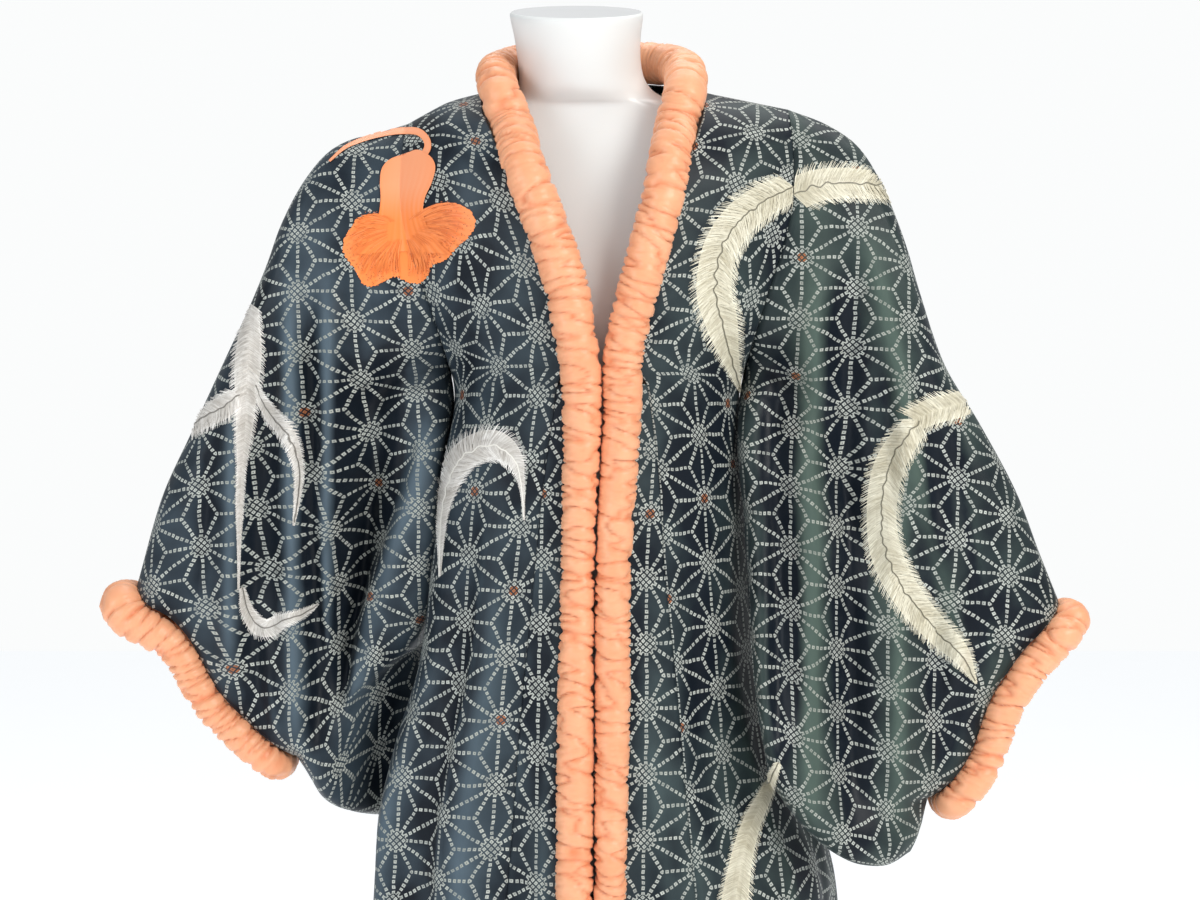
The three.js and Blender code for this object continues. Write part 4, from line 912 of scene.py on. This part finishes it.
def trimMaterial():
    material, tree, shader = startMaterial("Gathered peach silk", Roughness=0.38, Sheen_Weight=0.25,
                                           Sheen_Roughness=0.4, Sheen_Tint=(1, 0.82, 0.7, 1),
                                           Specular_IOR_Level=0.4, Subsurface_Weight=0.06)
    shader.inputs["Subsurface Radius"].default_value = (0.004, 0.002, 0.001)
    crease = addNode(tree, "ShaderNodeAttribute", attribute_name="crease").outputs["Fac"]
    spot = addNode(tree, "ShaderNodeTexCoord").outputs["Object"]
    tone = addNode(tree, "ShaderNodeTexNoise", {"Vector": spot, "Scale": 38.0, "Detail": 2.0})
    face = blend(tree, tone.outputs["Fac"], trimLook["deep"], trimLook["pale"])
    # painted shade: the creases are mixed towards a darker orange
    colour = blend(tree, crease, face, trimLook["crease"])
    tree.links.new(colour, shader.inputs["Base Color"])
    thread = addNode(tree, "ShaderNodeTexNoise", {"Vector": spot, "Scale": 420.0, "Detail": 2.0})
    bump = addNode(tree, "ShaderNodeBump", {"Height": thread.outputs["Fac"], "Strength": 0.25,
                                            "Distance": trimLook["relief"]})
    tree.links.new(bump.outputs[0], shader.inputs["Normal"])
    return material


def threadMaterial(name, low, high, middle=None):
    material, tree, shader = startMaterial(name, Roughness=0.42, Sheen_Weight=0.3, Sheen_Roughness=0.35,
                                           Specular_IOR_Level=0.45)
    tint = addNode(tree, "ShaderNodeAttribute", attribute_name="tint").outputs["Fac"]
    ramp = addNode(tree, "ShaderNodeValToRGB", {0: tint})
    ramp.color_ramp.elements[0].color = (*low, 1)
    ramp.color_ramp.elements[1].color = (*high, 1)
    if middle:
        ramp.color_ramp.elements.new(0.45).color = (*middle, 1)
    tree.links.new(ramp.outputs[0], shader.inputs["Base Color"])
    return material


def plainMaterial(name, colour, speckle=0.03, **fixed):
    material, tree, shader = startMaterial(name, **fixed)
    spot = addNode(tree, "ShaderNodeTexCoord").outputs["Object"]
    grain = addNode(tree, "ShaderNodeTexNoise", {"Vector": spot, "Scale": 9.0, "Detail": 3.0})
    darker = tuple(c * (1 - speckle) for c in colour)
    tree.links.new(blend(tree, grain.outputs["Fac"], (*darker, 1), (*colour, 1)), shader.inputs["Base Color"])
    return material


silk = silkMaterial(hempLeaf(hollowSquares()))
trim = trimMaterial()

# pieces

for side, seed in (("left", 1), ("right", 5)):
    bodyPiece(side, silk, seed)
    overlapPiece(side, silk, seed)
    sleevePiece(side, silk, seed + 2)
    cuffRoll(side, trim, seed + 3)
neckRoll(trim)
print("robe built", len(clothSurface["faces"]), "faces of cloth")


# embroidery, laid on the cloth along rays from the camera

view = {"x": 2.5, "z": 1117, "distance": 2100, "rise": math.radians(4), "sensor": 36, "lens": 70.8}
eye = Vector((view["x"], -view["distance"] * math.cos(view["rise"]),
              view["z"] + view["distance"] * math.sin(view["rise"])))
clothTree = BVHTree.FromPolygons([Vector(p) for p in clothSurface["points"]], clothSurface["faces"])


# the cloth's point behind a place on the upright plane through the pole, and the way it faces
def onCloth(x, z, lift):
    ray = (Vector((x, 0, z)) - eye).normalized()
    place, normal, _, reach = clothTree.ray_cast(eye, ray)
    for beside in (-0.9, 0.9):    # thread bridges the thin gap of a seam
        nextRay = (Vector((x + beside, 0, z)) - eye).normalized()
        other, otherNormal, _, otherReach = clothTree.ray_cast(eye, nextRay)
        if other is not None and (place is None or otherReach < reach - 4):
            place, normal, reach = eye + ray * otherReach, otherNormal, otherReach
    if place is None or abs(normal.dot(ray)) < 0.12:
        return None
    return place - normal * math.copysign(lift, normal.dot(ray))


def newStitches():
    return {"points": [], "faces": [], "tint": [], "kind": []}


# one run of thread through flat places, as a ribbon that stops where the cloth falls away
def addThread(stitches, places, widths, lifts, tint, kind):
    last = None
    for k, ((x, z), width, lift) in enumerate(zip(places, widths, lifts)):
        ahead = places[min(k + 1, len(places) - 1)]
        behind = places[max(k - 1, 0)]
        run = np.subtract(ahead, behind)
        across = np.array([-run[1], run[0]]) / max(np.linalg.norm(run), 1e-6) * width / 2
        pair = [onCloth(x - across[0], z - across[1], lift), onCloth(x + across[0], z + across[1], lift)]
        if None in pair or last is not None and (pair[0] - last[0]).length > 9:
            return
        start = len(stitches["points"])
        stitches["points"].extend(pair)
        stitches["tint"].extend([tint, tint])
        if last is not None:
            stitches["faces"].append([start - 2, start - 1, start + 1, start])
            stitches["kind"].append(kind)
        last = pair


def addPatch(stitches, grid, lift, tints, kind):
    rows, columns = grid.shape[:2]
    index = {}
    for i in range(rows):
        for j in range(columns):
            place = onCloth(grid[i, j, 0], grid[i, j, 1], lift)
            if place is not None:
                index[i, j] = len(stitches["points"])
                stitches["points"].append(place)
                stitches["tint"].append(tints[i, j])
    for i in range(rows - 1):
        for j in range(columns - 1):
            ring = [(i, j), (i, j + 1), (i + 1, j + 1), (i + 1, j)]
            if all(c in index for c in ring):
                corners = [index[c] for c in ring]
                spots = [stitches["points"][c] for c in corners]
                if max((spots[0] - spots[2]).length, (spots[1] - spots[3]).length) < 12:
                    stitches["faces"].append(corners)
                    stitches["kind"].append(kind)


def stitchPiece(name, stitches, materials):
    piece = addMesh(name, [list(p) for p in stitches["points"]], stitches["faces"], materials)
    piece.data.polygons.foreach_set("material_index", stitches["kind"])
    pointValues(piece, "tint", stitches["tint"])


plume = {"step": 0.72, "thread": 0.66, "tips": (0.2, 0.5), "lean": 0.42, "sweep": 0.5, "segments": 4,
         "ground": 0.78, "groundColumns": 7, "vein": 1.1, "veinLift": 1.55,
         "layers": ((0.3, 1.0, 0.7), (0.0, 0.62, 1.05))}    # from, to and lift: outer and inner barbs


# a plume: a satin ground, two layers of barbs out of each side, and a wavy vein
def plumePiece(name, rows, materials, seed):
    dice = random.Random(seed)
    path = smoothPath(np.array(rows, float))
    length = path[1][-1]
    count = int(length / plume["step"])
    spine = pointAt(path, np.linspace(0, 1, count + 1))
    runs = np.gradient(spine[:, :2], axis=0)
    runs /= np.linalg.norm(runs, axis=1, keepdims=True)
    sides = np.stack([-runs[:, 1], runs[:, 0]], -1)
    stitches = newStitches()
    spread = np.linspace(-plume["ground"], plume["ground"], plume["groundColumns"])
    ground = spine[::2, None, :2] + sides[::2, None] * (spine[::2, 2, None] * spread)[..., None]
    ground = ground + runs[::2, None] * (np.abs(spine[::2, 2, None] * spread) * 0.5)[..., None]
    addPatch(stitches, ground, 0.35, np.full(ground.shape[:2], 0.25), 0)
    for k in range(count + 1):
        x, z, half = spine[k]
        shade = 0.5 + 0.35 * noise.noise(Vector((k * plume["step"] / 16, seed * 3.1, 0)))
        for sign in (-1, 1):
            for layer, (start, end, lift) in enumerate(plume["layers"]):
                reach = half * (end + dice.uniform(-0.07, 0.12))
                lean = plume["lean"] + dice.uniform(-0.16, 0.16)
                places, widths, lifts = [], [], []
                for m in range(plume["segments"] + 1):
                    t = mix(start * half / max(reach, 0.1), 1, m / plume["segments"])
                    out = reach * t
                    on = out * lean + reach * plume["sweep"] * t * t * 0.5
                    places.append((x + sides[k][0] * sign * out + runs[k][0] * on,
                                   z + sides[k][1] * sign * out + runs[k][1] * on))
                    fraction = m / plume["segments"]
                    widths.append(mix(plume["thread"], plume["tips"][layer], fraction ** 1.5))
                    lifts.append(lift + 0.3 * math.sin(math.pi * fraction))
                tint = shade + (0.12 if layer == 0 else -0.2) + dice.uniform(-0.22, 0.22)
                addThread(stitches, places, widths, lifts, min(max(tint, 0), 1), 0)
    vein, steps = [], count // 2
    for k in range(steps):
        x, z, half = spine[k * 2]
        wave = noise.noise(Vector((k * plume["step"] * 2 / 7, seed, 5))) * 0.16 * half
        vein.append((x + sides[k * 2][0] * wave, z + sides[k * 2][1] * wave))
    addThread(stitches, vein, [plume["vein"]] * steps, [plume["veinLift"]] * steps, 0.5, 1)
    stitchPiece(name, stitches, materials)


cream = [threadMaterial("Cream silk thread", (0.5, 0.455, 0.33), (0.96, 0.93, 0.78)),
         threadMaterial("Vein cord", (0.12, 0.11, 0.08), (0.2, 0.185, 0.13))]
silver = [threadMaterial("Silver-white silk thread", (0.5, 0.465, 0.42), (0.98, 0.96, 0.93)),
          threadMaterial("Grey vein cord", (0.16, 0.15, 0.135), (0.25, 0.235, 0.21))]
whiteVein = [silver[0], threadMaterial("White vein cord", (0.7, 0.67, 0.6), (0.95, 0.93, 0.88))]
# each plume's threads and its spine: across, up and half width
plumes = {
    "bodyCrescent": (cream, [(172, 1350, 17), (148, 1338, 19), (128, 1323, 20), (112, 1301, 20),
                             (105, 1278, 20), (104, 1256, 20), (109, 1234, 18), (116, 1206, 11),
                             (127, 1168, 1)]),
    "sleeveBand": (cream, [(173, 1343, 19), (192, 1350, 18), (214, 1353, 17), (238, 1352, 16),
                           (262, 1351, 16), (280, 1348, 15)]),
    "sleeveStub": (cream, [(350, 1169, 14), (322, 1158, 15), (300, 1152, 15), (281, 1144, 13)]),
    "sleeveCurve": (cream, [(285, 1143, 15), (262, 1106, 18), (254, 1066, 17), (258, 1026, 18),
                            (275, 990, 17), (302, 957, 15), (325, 934, 10), (339, 908, 1)]),
    "bodyLower": (cream, [(163, 836, 4), (152, 809, 8), (139, 781, 11), (130, 749, 13), (124, 710, 16),
                          (119, 664, 16), (114, 610, 13), (117, 548, 1)]),
    "sleeveUpright": (silver, [(-306, 1246, 9), (-309, 1204, 15), (-312, 1168, 12), (-314, 1136, 9),
                               (-317, 1104, 5), (-319, 1070, 4), (-320, 1034, 2), (-321, 992, 1)]),
    "sleeveLeftBranch": (silver, [(-318, 1166, 12), (-331, 1156, 13), (-343, 1149, 12), (-357, 1141, 11),
                                  (-370, 1133, 9)]),
    "sleeveRightBranch": (silver, [(-304, 1175, 4), (-297, 1160, 7), (-288, 1147, 9), (-278, 1135, 9),
                                   (-270, 1118, 7), (-266, 1096, 5), (-268, 1072, 3), (-271, 1050, 1)]),
    "sleeveHook": (silver, [(-318, 994, 3), (-313, 973, 8), (-303, 960, 11), (-292, 958, 10),
                            (-281, 964, 7), (-267, 969, 5), (-249, 979, 1)]),
    "bodyArch": (whiteVein, [(-140, 1004, 1), (-139, 1038, 4), (-137, 1063, 7), (-132, 1086, 13),
                             (-124, 1104, 16), (-111, 1116, 17), (-95, 1121, 17), (-82, 1117, 13),
                             (-72, 1106, 8), (-68, 1092, 4), (-66, 1076, 2), (-65, 1055, 1)]),
}
for number, (name, (threads, rows)) in enumerate(plumes.items()):
    plumePiece(f"plume.{name}", rows, threads, number + 1)
print("plumes sewn")


# the blossom: a hanging bell with a frilled rim that curls up at both sides
bloom = {"middle": (-171, 1316), "threads": 250, "bend": 9, "stitches": 900, "knots": 330, "stemRows": 90}
bell = table("z left right", [
    (1379, -166, -150), (1375, -180, -145), (1367, -189, -142), (1354, -191.5, -145),
    (1341, -191, -151), (1330, -192, -153), (1319, -194, -151), (1308, -199, -145),
    (1298, -206, -136), (1290, -214, -127)])
frill = table("turn reach", [(-112, 26), (-98, 42), (-84, 50), (-66, 57), (-48, 60), (-31, 61), (-12, 48),
                             (8, 50), (21, 52), (38, 44), (60, 49), (84, 60), (102, 61), (115, 48),
                             (122, 28)])
stem = [(-236, 1372), (-222, 1384), (-206, 1391), (-186, 1396.5), (-170, 1398.5), (-157, 1397.5),
        (-150, 1391), (-149, 1384), (-153, 1377)]


def bloomPiece(materials):
    dice = random.Random(11)
    stitches = newStitches()
    x0, z0 = bloom["middle"]
    turns = np.linspace(frill["turn"][0], frill["turn"][-1], bloom["threads"])
    edge = along(frill, "reach", "turn", turns)
    jag = np.array([dice.uniform(-0.9, 0.9) for _ in turns]) + 1.6 * np.sin(np.radians(turns * 9))
    parts = np.linspace(0.12, 1, 22)[:, None]
    reach = parts * (edge + jag)
    bent = np.radians(turns + bloom["bend"] * np.sin(np.pi * parts) * np.sign(turns))
    grid = np.stack([x0 + reach * np.sin(bent), z0 - reach * np.cos(bent)], -1)
    groove = np.array([noise.noise(Vector((t / 4.2, 2, 1))) for t in turns])
    tints = 0.4 + 0.1 * parts + groove * (0.5 - 0.4 * parts)
    addPatch(stitches, grid, 0.5, np.clip(tints, 0, 0.55), 0)
    down = np.linspace(0, 1, 40)[:, None]
    z = mix(bell["z"][0], bell["z"][-1], down)
    side = np.linspace(0, 1, 46)[None, :]
    x = mix(along(bell, "left", "z", z), along(bell, "right", "z", z), side)
    tube = np.stack([x, np.broadcast_to(z, x.shape) + 3 * np.sin(np.pi * side)], -1)
    rib = np.array([noise.noise(Vector((k / 2.3, 9, 4))) for k in range(46)])[None, :]
    crown = 0.9 - 0.14 * np.abs(side * 2 - 1) ** 3 - 0.42 * ease(0.3, 0.75, down) + rib * 0.3 * down
    addPatch(stitches, tube, 1.3, crown, 0)
    for _ in range(bloom["stitches"]):    # long and short stitches where the tube opens into the frill
        k = dice.randrange(len(turns))
        start = dice.uniform(0.25, 0.68)
        run = np.array([start, start + 0.08, start + 0.16, start + 0.24]) * edge[k]
        way = np.radians(turns[k] + bloom["bend"] * np.sin(np.pi * run / edge[k]) * np.sign(turns[k]))
        places = [(x0 + r * math.sin(a), z0 - r * math.cos(a)) for r, a in zip(run, way)]
        addThread(stitches, places, [0.25, 0.6, 0.6, 0.25], [1.75 - start] * 4, dice.uniform(0.22, 0.6), 0)
    down = np.linspace(0, 1, bloom["stemRows"])
    line = pointAt(smoothPath(stem), down)
    wide = np.interp(down, [0, 0.45, 0.75, 1], [1.0, 2.4, 3.2, 3.0])
    run = np.gradient(line, axis=0)
    run /= np.linalg.norm(run, axis=1, keepdims=True)
    offsets = np.linspace(-1, 1, 7)[None, :, None]
    normal = np.stack([-run[:, 1], run[:, 0]], -1)[:, None]
    shades = np.broadcast_to(0.95 - 0.2 * offsets[..., 0] ** 2, (len(line), offsets.shape[1]))
    addPatch(stitches, line[:, None] + normal * offsets * wide[:, None, None], 0.9, shades, 0)
    for _ in range(bloom["knots"]):    # knots round the rim
        turn = dice.uniform(-108, 118)
        reach = float(along(frill, "reach", "turn", turn)) * mix(0.62, 0.97, dice.random() ** 0.7)
        a = math.radians(turn + bloom["bend"] * math.sin(math.pi * reach / 50) * math.copysign(1, turn))
        x, z = x0 + reach * math.sin(a), z0 - reach * math.cos(a)
        addThread(stitches, [(x - 0.35, z), (x + 0.35, z)], [0.7, 0.7], [0.9, 0.9], dice.random(), 1)
    stitchPiece("blossom", stitches, materials)


bloomPiece([threadMaterial("Orange and salmon thread", (0.5, 0.085, 0.018), (0.88, 0.36, 0.19),
                           (0.88, 0.23, 0.045)),
            threadMaterial("Rust knots", (0.4, 0.09, 0.03), (0.55, 0.14, 0.04))])
print("blossom sewn")


# the dress form and its stand

roundSides = 96
formColumns = "z half deep x y tilt"
formSections = table(formColumns, [
    (826, 92, 62, 0, 4, 0), (829, 114, 78, 0, 4, 0), (838, 128, 88, 0, 3, 0), (858, 134, 91, 0, 3, 0),
    (890, 132, 91, 0, 2, 0), (950, 122, 86, 0, 0, 0), (1020, 112, 80, 0, -1, 0),
    (1090, 113, 83, 0, -2, 0), (1160, 116, 90, 0, -3, 0), (1215, 121, 91, 0, -2, 0),
    (1260, 136, 87, 0, 0, 0), (1300, 158, 80, 0, 3, 0), (1335, 176, 72, 0, 5, 0),
    (1362, 184, 63, 0, 6, 0), (1382, 179, 55, 0, 7, 0), (1397, 165, 49, 0, 7, 0),
    (1408, 146, 46, 0, 6, 0), (1417, 118, 44, -1, 4, 1), (1422, 90, 44, -4, 2, 2),
    (1427, 70, 46, -8, 0, 4), (1437, 58, 49, -12, -4, 6), (1453, 54, 51, -15, -8, 9),
    (1478, 55, 54, -17, -15, 11), (1498, 58, 57, -18, -20, 12), (1500.5, 56.5, 55.5, -18, -20.5, 12)])


def formPiece(materials):
    sides, perSection = roundSides, 4
    heights = formSections["z"]
    levels = np.concatenate([np.linspace(a, b, perSection, endpoint=False)
                             for a, b in zip(heights[:-1], heights[1:])] + [[heights[-1]]])
    points = []
    turns = np.arange(sides) / sides * math.tau
    for z in levels:
        half, deep, x, y, tilt = (float(along(formSections, c, "z", z)) for c in formColumns.split()[1:])
        tilt = math.radians(tilt)
        reach = deep * np.sin(turns)
        points.extend(np.stack([x + half * np.cos(turns), y + reach * math.cos(tilt),
                                z + reach * math.sin(tilt)], -1))
    piece = addMesh("dressForm", points, tubeFaces(len(levels), sides), materials, ["form"])
    top = piece.data.polygons[-1]
    top.material_index = 1    # the greyer disc on top of the neck
    top.use_smooth = False


def turnedPiece(name, profile, material, node):
    turns = np.arange(roundSides) / roundSides * math.tau
    points = [[radius * math.cos(t), radius * math.sin(t), z] for radius, z in profile for t in turns]
    piece = addMesh(name, points, tubeFaces(len(profile), roundSides), material, [node])
    for face in piece.data.polygons[-2:]:
        face.use_smooth = False


shell = plainMaterial("Off-white shell", (0.735, 0.75, 0.745), Roughness=0.36, Coat_Weight=0.1)
disc = plainMaterial("Neck disc", (0.5, 0.51, 0.52), Roughness=0.4)
steel = plainMaterial("Polished steel", (0.72, 0.72, 0.72), Roughness=0.18, Metallic=1.0)
enamel = plainMaterial("Off-white enamel", (0.78, 0.78, 0.76), Roughness=0.3, Coat_Weight=0.3)
formPiece([shell, disc])
turnedPiece("standPole", [(14, 24.3), (14, 825.7)], steel, "pole")
turnedPiece("standBase", [(184.4, 0), (185, 0.6), (185, 6), (184.1, 8.1), (182, 9), (120, 9.9), (46, 11),
                          (39, 12), (34, 14), (31, 17), (28.6, 23), (27.4, 24), (0.5, 24)],
            enamel, "base")
print("form and stand built")


# light, floor and camera

lampAim = Vector((0, 0, 1.1))


def softLight(name, place, size, power, colour):
    data = bpy.data.lights.new(name, "AREA")
    data.shape = "RECTANGLE"
    data.size, data.size_y = size
    data.energy = power
    data.color = colour
    lamp = bpy.data.objects.new(name, data)
    collection.objects.link(lamp)
    lamp.location = place
    lamp.rotation_euler = (lampAim - Vector(place)).to_track_quat("-Z", "Y").to_euler()


target = Vector((view["x"] * mm, 0, view["z"] * mm))
camera = bpy.data.objects.new("camera", bpy.data.cameras.new("camera"))
collection.objects.link(camera)
camera.location = eye * mm
camera.rotation_euler = (target - eye * mm).to_track_quat("-Z", "Y").to_euler()
camera.data.sensor_width = view["sensor"]
camera.data.lens = view["lens"]
bpy.context.scene.camera = camera

lamps = {"key": ((1.8, -2.1, 2.5), (1.3, 1.5), 64, (1.0, 0.985, 0.95)),
         "fill": ((-2.2, -2.2, 1.9), (1.4, 1.5), 34, (0.93, 0.97, 1.0)),
         "top": ((0.2, 0.6, 2.9), (2.0, 1.6), 26, (1, 1, 1))}
for name, lamp in lamps.items():
    softLight(name, *lamp)
world = bpy.data.worlds.new("studio")
world.use_nodes = True
sky = world.node_tree
seen = addNode(sky, "ShaderNodeLightPath").outputs["Is Camera Ray"]    # a white backdrop, softer as a light
sky.nodes["Background"].inputs["Color"].default_value = (0.965, 0.975, 0.975, 1)
sky.links.new(addNode(sky, "ShaderNodeMapRange", {0: seen, 3: 0.42, 4: 1.0}).outputs[0],
              sky.nodes["Background"].inputs["Strength"])
bpy.context.scene.world = world
bpy.context.scene.view_settings.view_transform = "Standard"

floorMesh = bpy.data.meshes.new("floor")
floorMesh.from_pydata([(-6, -6, 0), (6, -6, 0), (6, 6, 0), (-6, 6, 0)], [], [(0, 1, 2, 3)])
floor = bpy.data.objects.new("floor", floorMesh)
collection.objects.link(floor)
floorMesh.materials.append(plainMaterial("Pale floor", (0.88, 0.885, 0.89), Roughness=0.8,
                                         Emission_Color=(0.94, 0.97, 1.0, 1), Emission_Strength=0.6))
